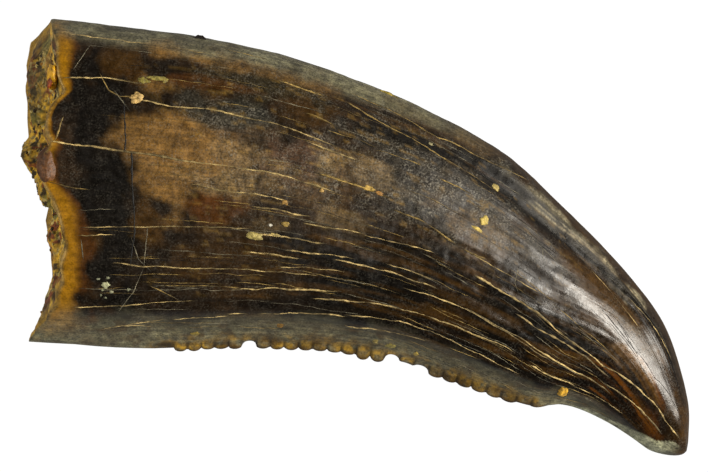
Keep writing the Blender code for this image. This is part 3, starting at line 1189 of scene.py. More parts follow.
    def lay_denticles(self, ragged: Array) -> None:
        """The denticles: ochre with yellow grains and brown crowns, and painted shade in the slit between
        each two.

        Args:
            ragged: Noise that makes the layers' edges ragged.
        """
        surface = self.surface
        height = surface.form.section(surface.turns)[1] * surface.form.half_thickness(surface.along)
        serrated = ease(0.17, 0.21, surface.along) * ease(0.79, 0.76, surface.along) * (surface.chord < 0)
        grains = cloud(surface.point, 0.09, 67, 2)
        ridge = np.exp(-((height / 0.24) ** 2)) * serrated
        early = 0.75 + 0.25 * ease(0.34, 0.26, surface.along)
        self.lay(Tone.OCHRE, ridge * (0.78 + 0.8 * grains) * early)
        self.lay(Tone.MUSTARD, ridge * ease(0.20, 0.55, cloud(surface.point, 0.14, 68, 2)) * early)
        self.lay(Tone.UMBER, ridge * ease(-0.1, 0.5, ragged + 0.4 * grains) * 0.7)
        k = surface.denticles.count_at(surface.form, surface.along)
        gap = np.abs(2 * (k - np.floor(k)) - 1)
        # Painted shade: the slit between two denticles is darkened.
        slit_shade = ease(0.66, 0.92, gap) * np.exp(-(((np.abs(height) - 0.08) / 0.12) ** 2)) * serrated
        self.lay(Tone.INKY, 0.80 * slit_shade)
        crown = ease(0.08, 0.02, np.abs(height)) * serrated
        self.lay(Tone.MOSS, 0.80 * crown)

    def lay_break(self, ragged: Array) -> None:
        """The honey-coloured band beside the break: deep amber, lighter towards the edge, with a pale line on
        it.

        Args:
            ragged: Noise that makes the layers' edges ragged.
        """
        surface = self.surface
        band = np.where(surface.upper, between(BREAK_BAND, surface.point[..., 1]), self.lower_band)
        band = band * (1 + 0.35 * ragged)
        share = surface.from_break / np.maximum(band, 0.02)
        self.lay(Tone.TAN, 0.95 * ease(1.12, 0.86, share))
        self.lay(Tone.HONEY, 0.95 * ease(0.95, 0.35, share + 0.25 * ragged))
        self.lay(Tone.OCHRE, 0.8 * ease(0.08, 0.03, surface.from_break))
        line = ease(0.040, 0.015, surface.from_break)
        self.lay(Tone.CREAM, 0.6 * line * ease(-0.45, 0.15, cloud(surface.point, 0.5, 69, 2)))


# Each crack is a path of points: x and y, and its width in thousandths of a millimetre.
CrackPath = tuple[tuple[float, float, int], ...]
CREAM_CRACKS = (
    (
        (-5.07, 1.63, 32), (-3.77, 1.43, 40), (-3.32, 1.38, 48), (-2.81, 1.27, 27), (-2.33, 1.22, 24),
        (-1.44, 1.10, 27), (-0.44, 0.81, 30),
    ),
    ((-3.58, 2.32, 22), (-3.12, 2.23, 26), (-2.42, 2.16, 30), (-1.34, 1.92, 29), (-0.44, 1.61, 36)),
    ((-0.69, 1.58, 28), (-0.04, 1.34, 28)),
    ((-4.78, 3.44, 30), (-4.43, 3.39, 24), (-3.61, 3.31, 18)),
    ((-4.78, 2.71, 28), (-4.26, 2.71, 26), (-3.67, 2.62, 24)),
    ((-4.47, 0.16, 18), (-3.80, 0.18, 20), (-1.94, 0.16, 22)),
    ((-4.54, 0.04, 24), (-4.21, 0.04, 24)),
    ((-3.96, -0.45, 22), (-3.53, -0.49, 22), (-1.53, -0.56, 19), (-0.71, -0.64, 16)),
    ((-1.17, -0.49, 20), (-0.32, -0.57, 20)),
    ((-4.64, -1.17, 20), (-3.84, -1.14, 17), (-2.81, -1.07, 14)),
    ((-4.18, -1.55, 22), (-3.61, -1.44, 20), (-3.32, -1.41, 18)),
    ((-3.94, -1.51, 28), (-3.56, -1.51, 28)),
    ((-2.98, -1.36, 22), (-2.25, -1.31, 22)),
    ((-2.04, -1.29, 34), (-1.92, -1.29, 34)),
    ((-1.60, -1.29, 24), (-0.26, -1.32, 24)),
    ((-0.03, -1.32, 28), (1.27, -1.58, 22), (2.67, -2.26, 16)),
    ((-0.04, -1.53, 46), (0.06, -1.55, 36), (1.10, -1.73, 26)),
    ((-1.96, -0.88, 30), (-0.37, -0.91, 30)),
    ((-0.61, -1.03, 32), (0.25, -1.12, 30), (1.27, -1.34, 24), (2.61, -1.89, 20)),
    ((-0.23, -0.40, 26), (0.28, -0.52, 31), (1.27, -0.83, 36)),
    ((0.67, -0.49, 26), (1.29, -0.69, 26)),
    ((0.97, -0.88, 32), (1.29, -0.98, 30), (2.09, -1.32, 25), (3.22, -2.02, 22)),
    ((0.28, 0.01, 20), (1.27, -0.23, 20)),
    ((-1.73, -0.25, 24), (-0.97, -0.35, 24)),
    ((-1.05, -0.23, 26), (-0.15, -0.33, 26)),
    ((-1.56, 0.04, 30), (-0.62, -0.08, 30)),
    ((-2.33, 0.81, 26), (-1.20, 0.64, 26)),
    ((-1.61, 0.52, 28), (-0.88, 0.38, 28)),
    ((-0.74, 0.23, 24), (-0.01, 0.09, 24)),
    ((-2.64, 0.88, 20), (-2.47, 0.85, 20)),
    ((2.16, -0.71, 42), (2.54, -0.93, 36), (3.10, -1.26, 28), (4.25, -2.20, 27), (5.48, -3.34, 28)),
    ((2.86, -1.38, 34), (3.55, -1.79, 31), (4.25, -2.30, 28)),
    ((4.38, -2.55, 26), (5.20, -3.27, 26)),
    ((1.97, -1.26, 24), (2.98, -1.80, 27), (3.68, -2.26, 26), (4.26, -2.59, 22)),
    ((3.07, -2.23, 28), (3.68, -2.50, 28)),
    ((3.84, -2.59, 16), (4.49, -2.96, 16)),
    ((2.13, -0.35, 14), (3.05, -0.88, 14)),
    ((4.83, -1.09, 16), (5.43, -1.94, 16)),
    ((4.21, -0.66, 14), (4.81, -1.41, 14)),
)
OCHRE_CRACKS = (
    ((-1.17, 2.64, 34), (-0.62, 2.45, 34)),
    ((-0.01, 2.26, 30), (0.47, 1.99, 32), (1.29, 1.50, 29), (2.25, 0.91, 24)),
    ((0.11, 2.44, 22), (0.56, 2.26, 25), (1.22, 1.85, 28), (2.35, 1.26, 23), (2.83, 1.02, 18)),
    ((-2.08, 3.17, 22), (-1.61, 3.05, 22)),
    ((-0.54, 1.07, 28), (-0.04, 0.91, 34), (0.50, 0.71, 40)),
    ((0.76, 0.42, 24), (1.19, 0.25, 28), (1.61, -0.03, 32)),
    ((1.97, -0.25, 44), (2.11, -0.32, 44)),
    ((-0.69, 2.06, 20), (-0.44, 1.96, 20)),
    ((-0.32, 1.79, 18), (0.25, 1.58, 18)),
    ((1.53, 0.98, 20), (1.87, 0.81, 20)),
    ((0.50, 1.44, 14), (1.02, 1.27, 14)),
    ((-4.95, 2.01, 24), (-5.07, 1.65, 30)),
    ((-4.25, 2.67, 16), (-4.16, 2.50, 18), (-3.97, 2.40, 22), (-3.78, 2.40, 24)),
    ((-3.34, -0.88, 24), (-3.03, -1.03, 24)),
    ((-5.05, 0.91, 18), (-4.62, 0.83, 18)),
)
GREY_CRACKS = (
    ((-4.54, 3.19, 14), (-4.69, 2.96, 16)),
    ((-3.51, 0.13, 12), (-3.53, -0.20, 14), (-3.55, -0.44, 13)),
    ((-3.73, -0.15, 16), (-3.66, -0.36, 14), (-3.53, -0.49, 12)),
    ((-3.63, -0.66, 12), (-3.74, -0.92, 11), (-3.97, -1.22, 12)),
    ((-4.52, -0.86, 10), (-2.81, -0.90, 10)),
    ((-3.15, -0.23, 10), (-1.73, -0.32, 10)),
    ((-4.55, 0.47, 14), (-4.20, 0.47, 14)),
    ((-4.64, -0.06, 14), (-4.59, -0.32, 14)),
    ((3.22, -0.21, 10), (3.22, -0.42, 10)),
    ((2.79, -0.56, 10), (2.73, -0.78, 10), (2.78, -0.90, 10)),
    ((-0.45, -0.69, 10), (0.23, -0.79, 10)),
    ((-2.98, -0.88, 10), (-1.96, -0.88, 10)),
    ((-3.99, 2.40, 16), (-3.90, 2.28, 14)),
)
DARK_CRACKS = (
    ((-3.89, 2.28, 22), (-3.87, 1.90, 30), (-3.89, 1.50, 26)),
    ((-3.77, 1.39, 28), (-3.74, 0.70, 34), (-3.73, 0.03, 26), (-3.78, -0.42, 18)),
    ((4.26, -1.27, 14), (4.78, -1.92, 14), (5.17, -2.42, 13), (5.55, -2.96, 12)),
    ((4.30, -1.41, 10), (4.96, -2.26, 10)),
    ((4.49, -1.41, 10), (4.81, -1.84, 10)),
    ((4.64, -1.68, 10), (4.78, -1.92, 10)),
)


@dataclass(frozen=True)
class Filling:
    """What some of the cracks hold.

    Attributes:
        name: A plain word for it.
        colour: Its colour.
        paths: The cracks seen on the upper flank.
        hairlines: How many hairlines are strewn over the upper flank besides.
    """

    name: str
    colour: Colour
    paths: tuple[CrackPath, ...]
    hairlines: int


class Fill(Enum):
    """The four fillings."""

    CREAM = Filling("cream", (184, 160, 106), CREAM_CRACKS, 0)
    OCHRE = Filling("ochre", (148, 124, 70), OCHRE_CRACKS, 80)
    GREY = Filling("grey", (118, 112, 92), GREY_CRACKS, 60)
    SHADOW = Filling("shadow", (9, 7, 6), DARK_CRACKS, 40)


def waver(at: Array, seed: int, parts: Waves) -> Array:
    """Noises added up along a thread, each with its height, cell and seed, for the thread's own seed."""
    return sum(height * lattice_noise(flat(at / cell, seed), own) for height, cell, own in parts)


@dataclass
class CrackSet:
    """All the cracks with one fill, as thin closed threads set in the enamel.

    Attributes:
        surface: The crown that they run in.
        fill: What they hold, and where they run.
        spacing: Distance between two points of a thread.
        tail: How far a crack along the crown runs on past its measured ends, ever thinner.
        short_tail: The same for a crack across the crown.
        proud: How far the fill stands out of the enamel.
        depth: How far it reaches in.
        wander: Height, cell and seed of the noises that bend a thread.
        swing: The same for its width, as a share of it.
        paleness: The same for its colour.
        lower_share: How many hairlines the lower flank has, for each one on the upper flank.
        hairline_along: Where along the crown hairlines start, from and to.
        hairline_chord: Their chord, from and to.
        hairline_reach: Their length, from and to.
        hairline_width: Their width, from and to.
        hairline_odds: Chord, and how likely a hairline is to be kept there.
    """

    surface: CrownSurface
    fill: Fill
    spacing: float = 0.03
    tail: float = 0.16
    short_tail: float = 0.05
    proud: float = 0.002
    depth: float = 0.012
    wander: Waves = ((0.016, 0.32, 71), (0.006, 0.08, 73))
    swing: Waves = ((0.6, 0.13, 79), (0.35, 0.05, 81))
    paleness: Waves = ((0.5, 0.30, 83), (0.30, 0.06, 85))
    lower_share: float = 0.6
    hairline_along: Range = (0.10, 0.80)
    hairline_chord: Range = (-0.92, 0.90)
    hairline_reach: Range = (0.2, 1.2)
    hairline_width: Range = (0.005, 0.011)
    hairline_odds: Pairs = ((-0.9, 1.0), (0.0, 0.8), (0.2, 0.12), (0.7, 0.5), (0.9, 0.5))

    def measured(self, side: Side) -> list[Array]:
        """The measured cracks as rows of along, chord and width. The lower flank has every second one, moved
        a bit.

        Args:
            side: The flank.

        Returns:
            One array for each crack.
        """
        form = self.surface.form
        paths = self.fill.value.paths if side is Side.UPPER else self.fill.value.paths[::2]
        rows = [np.array([(*form.locate(x, y), width / 1000) for x, y, width in path]) for path in paths]
        if side is Side.UPPER:
            return rows
        return [row * (0.97, 0.93, 1.0) + (0.02, 0.04, 0.0) for row in rows]

    def strewn(self, side: Side) -> list[Array]:
        """Hairlines strewn at random, which follow the enamel's strands and are closest low on the flank.

        Args:
            side: The flank.

        Returns:
            One array for each hairline.
        """
        form = self.surface.form
        filling = self.fill.value
        chance = np.random.default_rng((len(filling.name), filling.hairlines, side.value + 1))
        rows = []
        while len(rows) < filling.hairlines * (1.0 if side is Side.UPPER else self.lower_share):
            along, chord = chance.uniform(*self.hairline_along), chance.uniform(*self.hairline_chord)
            end = along + chance.uniform(*self.hairline_reach) / form.length
            if chance.random() > between(self.hairline_odds, chord):
                continue
            width = chance.uniform(*self.hairline_width)
            end_chord = chord - float(form.drift(end) - form.drift(along))
            rows.append(np.array(((along, chord, width), (end, end_chord, width))))
        return rows

    def thread(self, row: Array, side: Side, seed: int) -> tuple[Array, Array]:
        """One crack's thread: a narrow kite, whose width and paleness come and go along it.

        Args:
            row: Its path as along, chord and width.
            side: The flank that it is on.
            seed: Another seed gives another wander.

        Returns:
            Its points by ring and corner, and the paleness of each ring.
        """
        form = self.surface.form
        local = row[:, :2] * np.stack((np.full(len(row), form.length), form.half_width(row[:, 0])), axis=1)
        knots = path_length(local)
        across = abs(local[-1, 0] - local[0, 0]) < 0.5 * knots[-1]
        tail = self.short_tail if across else self.tail
        step = tail / (knots[[1, -1]] - knots[[0, -2]])
        first = row[0] - (row[1] - row[0]) * step[0]
        last = row[-1] + (row[-1] - row[-2]) * step[1]
        row = np.concatenate((first[None], row, last[None]))
        row[[0, -1], 2] *= 0.25
        knots = np.concatenate(([-tail], knots, [knots[-1] + tail]))
        at = np.linspace(knots[0], knots[-1], max(7, int((knots[-1] - knots[0]) / self.spacing)))
        along, chord, width = (np.interp(at, knots, column) for column in row.T)
        wander = waver(at, seed, self.wander)
        if across:
            along = along + wander / form.length
        else:
            chord = chord + wander / form.half_width(along)
        turn = form.turn_at(np.clip(chord, -0.96, 0.97), side)
        point, normal = self.surface.sample(np.clip(along, form.break_along(turn) + 0.002, 0.985), turn)
        beside = np.cross(normal, np.gradient(point, axis=0))
        beside = beside / np.maximum(np.linalg.norm(beside, axis=1, keepdims=True), 1e-12)
        half = (width * 0.40 * np.clip(1 + waver(at, seed, self.swing), 0.2, 2.0))[:, None]
        pale = 0.62 + waver(at, seed, self.paleness)
        fade = np.clip(np.minimum(at - knots[0], knots[-1] - at) / tail, 0.15, 1)
        beside = beside * half
        corners = (point + beside, point + self.proud * normal, point - beside, point - self.depth * normal)
        return np.stack(corners, axis=1), np.clip(pale, 0.25, 1.1) * fade

    def build(self) -> Piece:
        """Every thread with this fill on both flanks, joined in one mesh, each closed by a face at both ends.

        Returns:
            The piece.
        """
        filling = self.fill.value
        colour = light_of(filling.colour)
        heap = Heap()
        rows = [(row, side) for side in Side for row in self.measured(side) + self.strewn(side)]
        for seed, (row, side) in enumerate(rows):
            rings, pale = self.thread(row, side, seed)
            index = np.arange(len(rings) * 4).reshape(-1, 4)
            faces = (quads_between(index), index[:1, ::-1], index[-1:])
            heap.add(rings.reshape(-1, 3), faces, np.repeat(pale, 4)[:, None] * colour)
        finish = CrumbFinish(f"crack_{filling.name}", roughness=0.6, bumps=0.004)
        return heap.make(f"cracks_{filling.name}", finish)


@dataclass(frozen=True)
class Crust:
    """A crumb of sediment that sticks to the enamel.

    Attributes:
        x, y: Its middle, in the plan.
        length: Half its length along the crown.
        width: Half its width across it.
        height: How far it stands out.
        colour: Its colour.
    """

    x: float
    y: float
    length: float
    width: float
    height: float
    colour: Colour


# Each crust's x and y, half its length and half its width, its height and its colour.
CRUSTS = tuple(Crust(*row) for row in (
    (-3.69, 2.36, 0.11, 0.09, 0.05, (178, 148, 92)), (-3.58, 2.66, 0.11, 0.06, 0.02, (118, 108, 50)),
    (-3.36, 2.70, 0.18, 0.04, 0.02, (132, 120, 60)), (-3.22, 2.67, 0.07, 0.05, 0.02, (124, 110, 52)),
    (-4.28, -0.88, 0.03, 0.03, 0.01, (130, 132, 104)), (-4.18, -0.68, 0.03, 0.02, 0.01, (120, 122, 96)),
    (-4.22, -1.02, 0.03, 0.02, 0.01, (112, 114, 90)), (-4.30, -0.98, 0.02, 0.02, 0.01, (104, 106, 84)),
    (-4.22, -0.80, 0.07, 0.06, 0.02, (158, 158, 124)), (-4.34, -0.70, 0.03, 0.02, 0.01, (120, 122, 100)),
    (-4.12, -0.92, 0.04, 0.03, 0.01, (140, 140, 112)), (-3.83, -0.88, 0.03, 0.03, 0.01, (110, 112, 90)),
    (-1.70, 0.03, 0.16, 0.06, 0.02, (150, 136, 80)), (-1.36, 0.05, 0.11, 0.03, 0.01, (162, 144, 88)),
    (-1.18, 0.23, 0.07, 0.05, 0.03, (150, 126, 66)), (-1.18, 0.60, 0.06, 0.05, 0.02, (150, 116, 60)),
    (-1.42, 0.21, 0.04, 0.03, 0.02, (176, 172, 158)), (0.27, 0.82, 0.10, 0.04, 0.02, (170, 140, 72)),
    (0.42, 0.75, 0.07, 0.04, 0.02, (144, 106, 56)), (-0.55, 0.80, 0.04, 0.04, 0.02, (154, 124, 70)),
    (2.42, 0.88, 0.07, 0.05, 0.03, (168, 150, 92)), (2.21, 0.28, 0.08, 0.08, 0.03, (176, 156, 84)),
    (2.10, 0.14, 0.11, 0.03, 0.02, (170, 148, 78)), (3.56, -2.64, 0.09, 0.08, 0.05, (176, 136, 44)),
    (0.58, 2.50, 0.13, 0.05, 0.03, (150, 132, 60)), (-2.64, 3.47, 0.09, 0.06, 0.04, (34, 28, 22)),
    (1.32, 1.62, 0.04, 0.03, 0.01, (150, 142, 104)), (-2.72, -1.62, 0.10, 0.04, 0.01, (120, 104, 48)),
    (-1.25, -1.50, 0.09, 0.03, 0.01, (112, 84, 36)), (0.62, -1.86, 0.12, 0.04, 0.01, (134, 122, 62)),
    (0.35, -1.78, 0.06, 0.04, 0.01, (124, 110, 60)), (1.05, -2.00, 0.06, 0.04, 0.02, (150, 128, 60)),
))


@dataclass
class CrustSet:
    """The crumbs of sediment on the enamel, as low lumps that follow its surface.

    Attributes:
        surface: The crown that they stick to.
        crusts: The crumbs.
        rings: Rings of points on each, from its middle out.
        spokes: Points round each ring.
        sunk: How far a crumb's underside lies under the enamel.
        ragged: Height, cells per radius and seed of the noises that make a crumb's outline ragged.
    """

    surface: CrownSurface
    crusts: tuple[Crust, ...] = CRUSTS
    rings: int = 9
    spokes: int = 26
    sunk: float = 0.015
    ragged: Waves = ((0.38, 1.7, 83), (0.18, 4.0, 84))

    def lump(self, crust: Crust, seed: int) -> Array:
        """One crumb by ring and spoke: a ragged dome, then its underside, which follows the enamel.

        Args:
            crust: The crumb.
            seed: Another seed gives another shape.

        Returns:
            The points by ring and spoke.
        """
        form = self.surface.form
        along, chord = form.locate(crust.x, crust.y)
        spoke = np.arange(self.spokes) / self.spokes * FULL_TURN
        share = np.linspace(0, 1, self.rings + 1)[1:, None]
        outline = 1.0
        for height, cells, own in self.ragged:
            circle = flat(np.cos(spoke) * cells + seed * 9, np.sin(spoke) * cells)
            outline = outline + height * lattice_noise(circle, own)
        du = share * outline * np.cos(spoke) * crust.length
        dv = share * outline * np.sin(spoke) * crust.width
        turn = form.turn_at(np.clip(chord + dv / form.half_width(along), -0.985, 0.985), Side.UPPER)
        point, normal = self.surface.sample(along + du / form.length, turn)
        crumbs = 1 + 0.55 * cloud(flat(du + seed * 3, dv), 0.07, 89, 2)
        dome = crust.height * np.sqrt(np.clip(1 - share**2.5, 0, 1)) * crumbs
        top = point + (dome - 0.3 * self.sunk * share)[..., None] * normal
        under = (point - self.sunk * normal)[::-1]
        return np.concatenate((top, under))

    def build(self) -> Piece:
        """Every crumb, joined in one mesh.

        Returns:
            The piece.
        """
        heap = Heap()
        for seed, crust in enumerate(self.crusts):
            shell = Shell.closed(self.lump(crust, seed))
            heap.add(shell.points(), shell.faces(), light_of(crust.colour))
        return heap.make("crusts", CrumbFinish("crust", roughness=0.6))


@dataclass
class Tooth:
    """The crown's own piece: its outside, the broken wall at its base, and the pulp hollow.

    Attributes:
        surface: The outside.
        wall: Thickness of the wall at the break.
        wall_rows: Rows across the broken wall.
        hollow_rows: Rows down the hollow.
        hollow_ends_at: Where along the crown the hollow ends.
        wall_rough: How far the broken wall is uneven.
        wall_glints: How thickly the wall and the hollow are strewn with pale specks, painted glints.
        wall_roughness: How rough they are, where 0 is a mirror and 1 is chalk.
    """

    surface: CrownSurface
    wall: float = 0.40
    wall_rows: int = 14
    hollow_rows: int = 5
    hollow_ends_at: float = 0.40
    wall_rough: float = 0.05
    wall_glints: float = 0.1
    wall_roughness: float = 0.6

    def broken_wall(self) -> Array:
        """The broken wall, from the outer edge inwards: between the outside and the hollow, with noise along
        -X.

        Past its outermost rows it is held back behind the base's outline.

        Returns:
            The points by row and column.
        """
        surface = self.surface
        mouth = surface.form.break_along(surface.turns)
        outer = surface.point[0]
        inner = surface.form.inner_point(mouth, surface.turns, self.wall)
        share = (np.arange(1, self.wall_rows + 1) / self.wall_rows)[:, None, None]
        rows = outer + (inner - outer) * share
        fade = np.sin(math.pi * np.minimum(share[..., 0] * 1.15, 1)) ** 0.5
        rows[..., 0] -= self.wall_rough * fade * (0.15 + cloud(rows, 0.28, 91, 4))
        return rows + (held_back(rows) - rows) * ease(0.0, 0.2, share)

    def hollow(self) -> Array:
        """The hollow, from the broken wall inwards."""
        share = np.arange(1, self.hollow_rows + 1) / (self.hollow_rows + 1)
        return self.surface.form.cavity(self.surface.turns, self.wall, self.hollow_ends_at, share)

    def build(self) -> Piece:
        """The whole piece, with its colour, painted glints and roughness stored on its points.

        Returns:
            The piece.
        """
        surface = self.surface
        wall, hollow = self.broken_wall(), self.hollow()
        inside = np.concatenate((hollow[::-1], wall[::-1]))
        flow = np.concatenate((np.repeat(surface.flow[:1], len(inside), axis=0), surface.flow))
        rings = np.concatenate((inside, surface.point))
        made = Shell(rings, (surface.form.core(self.hollow_ends_at), surface.tip), flow).make("tooth_crown")
        colour, specks, roughness = EnamelPaint(surface).paint()
        near_edge = ease(0.5, 1.0, np.arange(1, len(wall) + 1) / len(wall))
        near_edge = np.concatenate((np.zeros(len(hollow)), near_edge))[:, None, None]
        dentine = self.inside_colour(inside)
        dentine = dentine + (Tone.MUSTARD.value.linear() - dentine) * 0.8 * near_edge
        rim_glints = np.full(inside.shape[:2], self.wall_glints)
        rim_roughness = np.full(inside.shape[:2], self.wall_roughness)
        add_values(made, "tint", with_poles(np.concatenate((dentine, colour)).reshape(-1, 3)))
        # The pale specks stored here are painted glints of tiny facets.
        add_values(made, "specks", with_poles(np.concatenate((rim_glints, specks)).ravel()))
        add_values(made, "gloss", with_poles(np.concatenate((rim_roughness, roughness)).ravel()))
        made.data.materials.append(EnamelFinish().material())
        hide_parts("tooth")
        return dressed(made)

    def inside_colour(self, point: Array) -> Array:
        """The colour of the broken wall: dentine, stained like the sediment in patches.

        Args:
            point: Points, in millimetres.

        Returns:
            The colours, as light.
        """
        amber = ease(-0.1, 0.4, cloud(point, 0.30, 97, 3))[..., None]
        colour = sediment_colour(point)
        return colour + (Tone.TAN.value.linear() - colour) * 0.7 * amber


# How far the broken base reaches, seen from above: y, then x.
BASE_OUTLINE = (
    (-1.80, -5.59), (-1.60, -5.51), (-1.40, -5.42), (-1.20, -5.33), (-1.00, -5.27), (-0.80, -5.20),
    (-0.62, -5.16), (-0.40, -5.17), (-0.22, -5.22), (-0.05, -5.29), (0.10, -5.27), (0.30, -5.17),
    (0.49, -5.17), (0.54, -5.33), (0.76, -5.43), (0.96, -5.49), (1.17, -5.62), (1.38, -5.70),
    (1.56, -5.75), (1.76, -5.64), (2.20, -5.60), (2.60, -5.64), (2.80, -5.68), (3.02, -5.62),
    (3.22, -5.59), (3.42, -5.46), (3.64, -5.27),
)


def held_back(point: Array, soft: float = 0.03) -> Array:
    """Points of the broken base, none further towards -X than its outline: x = least + w ln(1 + e^((x -
    least) / w)).

    Args:
        point: The points.
        soft: The w above: how softly they are held, and how uneven the outline is made by noise.

    Returns:
        The points, moved where they would stand out.
    """
    held = point.copy()
    least = between(BASE_OUTLINE, point[..., 1]) + soft * (1 + cloud(point, 0.2, 108, 2))
    held[..., 0] = least + soft * np.logaddexp(0.0, (point[..., 0] - least) / soft)
    return held


# Colour of each kind of grain in the sediment, its cell and seed, and the noise between which it comes on.
GRAINS = (
    ((116, 106, 44), 0.36, 109, 0.08, 0.34),
    ((202, 160, 46), 0.20, 113, -0.15, 0.40),
    ((124, 66, 22), 0.18, 127, 0.24, 0.54),
    ((60, 50, 26), 0.10, 129, 0.20, 0.60),
    ((172, 152, 90), 0.09, 131, 0.54, 0.74),
)
MATRIX_COLOUR = (202, 158, 44)


def sediment_colour(point: Array) -> Array:
    """Ochre sediment with patches of olive, yellow, red-brown, dark and pale grains, by noise.

    Args:
        point: Points, in millimetres.

    Returns:
        The colours, as light.
    """
    made = np.broadcast_to(light_of(MATRIX_COLOUR), point.shape)
    for colour, cell, seed, low, high in GRAINS:
        mask = ease(low, high, cloud(point, cell, seed, 3))[..., None]
        made = made + (light_of(colour) - made) * mask
    return made


@dataclass(frozen=True)
class Lump:
    """A lump on the broken face of the sediment: where it is, how far it stands out, its radius and its
    colour.
    """

    y: float
    z: float
    height: float
    radius: float
    colour: Colour


@dataclass
class Sediment:
    """The sediment in the hollow, with its crumbly broken face.

    Attributes:
        form: The crown's plain shape.
        inset: How far its side lies in from the outside of the crown.
        set_back: How far its face lies in from the broken edge.
        ends_at: Where along the crown it ends.
        face_rings: Rings on the broken face.
        side_rings: Rings down the hollow.
        columns: Points round each ring.
        lumps: The lumps on its face.
    """

    form: CrownForm
    inset: float = 0.385
    set_back: float = 0.06
    ends_at: float = 0.38
    face_rings: int = 110
    side_rings: int = 5
    columns: int = 300
    lumps: tuple[Lump, ...] = (
        Lump(2.55, 1.05, 0.22, 0.42, (96, 80, 44)),
        Lump(1.52, 0.62, 0.36, 0.20, (92, 66, 34)),
        Lump(1.38, 1.05, 0.46, 0.20, (112, 92, 40)),
        Lump(1.05, 0.90, 0.42, 0.32, (94, 88, 44)),
        Lump(0.72, 1.25, 0.36, 0.28, (120, 88, 36)),
        Lump(0.05, 1.10, 0.16, 0.24, (70, 52, 26)),
        Lump(-0.45, 1.50, -0.20, 0.45, (150, 98, 28)),
        Lump(1.90, 1.90, 0.14, 0.30, (150, 140, 104)),
        Lump(3.00, 1.60, 0.16, 0.26, (150, 110, 36)),
        Lump(-1.15, 1.20, -0.14, 0.35, (140, 104, 40)),
    )

    def bulge(self, point: Array) -> Array:
        """How far the face stands out: a bell curve for each lump, and crumbs of noise of several sizes.

        Args:
            point: Points, in millimetres.

        Returns:
            The distance.
        """
        y, z = point[..., 1], point[..., 2]
        out = np.zeros_like(y)
        for lump in self.lumps:
            out = out + lump.height * np.exp(-((y - lump.y) ** 2 + (z - lump.z) ** 2) / lump.radius**2)
        coarse = cloud(point, 0.42, 103, 2)
        crumbs = 1 - np.abs(cloud(point, 0.22, 107, 4))
        return out + 0.05 * coarse + 0.09 * (crumbs - 0.7)

    def rings(self) -> Array:
        """All rings: the face from its middle out, then the side down the hollow, held back behind the
        outline.

        Returns:
            The points by ring and column.
        """
        turns = np.arange(self.columns) / self.columns * FULL_TURN
        depth = np.arange(self.side_rings) / self.side_rings
        side = self.form.cavity(turns, self.inset, self.ends_at, depth)
        middle = side[0].mean(axis=0)
        share = (np.arange(1, self.face_rings) / self.face_rings)[:, None]
        face = middle + (side[0] - middle) * share[..., None]
        face[..., 0] -= (self.bulge(face) - self.set_back) * (1 - share**8)
        return held_back(np.concatenate((face, side)))

    def colour(self, point: Array) -> Array:
        """Ochre with olive, yellow and dark crumbs, each lump in its own colour, and painted shade that
        darkens what lies deep.

        Args:
            point: Points, in millimetres.

        Returns:
            The colours, as light.
        """
        made = sediment_colour(point)
        for lump in self.lumps:
            far = (point[..., 1] - lump.y) ** 2 + (point[..., 2] - lump.z) ** 2
            mask = 0.6 * np.exp(-((far / lump.radius**2) ** 2))[..., None]
            made = made + (light_of(lump.colour) - made) * mask
        # Painted shade: where the face's crumbs are sunk, the colour is darker.
        painted_hollow_shade = ease(0.30, 0.80, np.abs(cloud(point, 0.22, 107, 4)))[..., None]
        return made * (1 - 0.35 * painted_hollow_shade)

    def build(self) -> Piece:
        """The piece that stands for the sediment's solid.

        Returns:
            The piece.
        """
        rings = self.rings()[:, ::-1]
        made = Shell(rings, (rings[0].mean(axis=0), self.form.core(self.ends_at))).make("sediment_plug")
        add_values(made, "tint", with_poles(self.colour(rings).reshape(-1, 3)))
        made.data.materials.append(CrumbFinish("sediment").material())
        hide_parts("sediment")
        return dressed(made)


@dataclass(frozen=True)
class Stone:
    """A chip or a crumb on the broken face: its middle, its half sizes and its colour."""

    middle: Triple
    half: Triple
    colour: Colour


STONES = (
    Stone((-5.11, 2.74, 2.50), (0.11, 0.27, 0.22), (200, 148, 24)),
    Stone((-5.16, 2.62, 2.66), (0.04, 0.09, 0.06), (130, 60, 20)),
    Stone((-5.20, 1.19, 2.87), (0.20, 0.36, 0.14), (98, 66, 40)),
)
CRUMB_COLOURS = (
    (180, 138, 26), (146, 102, 26), (100, 90, 38), (92, 56, 22), (50, 40, 22), (176, 158, 96),
    (126, 106, 36),
)


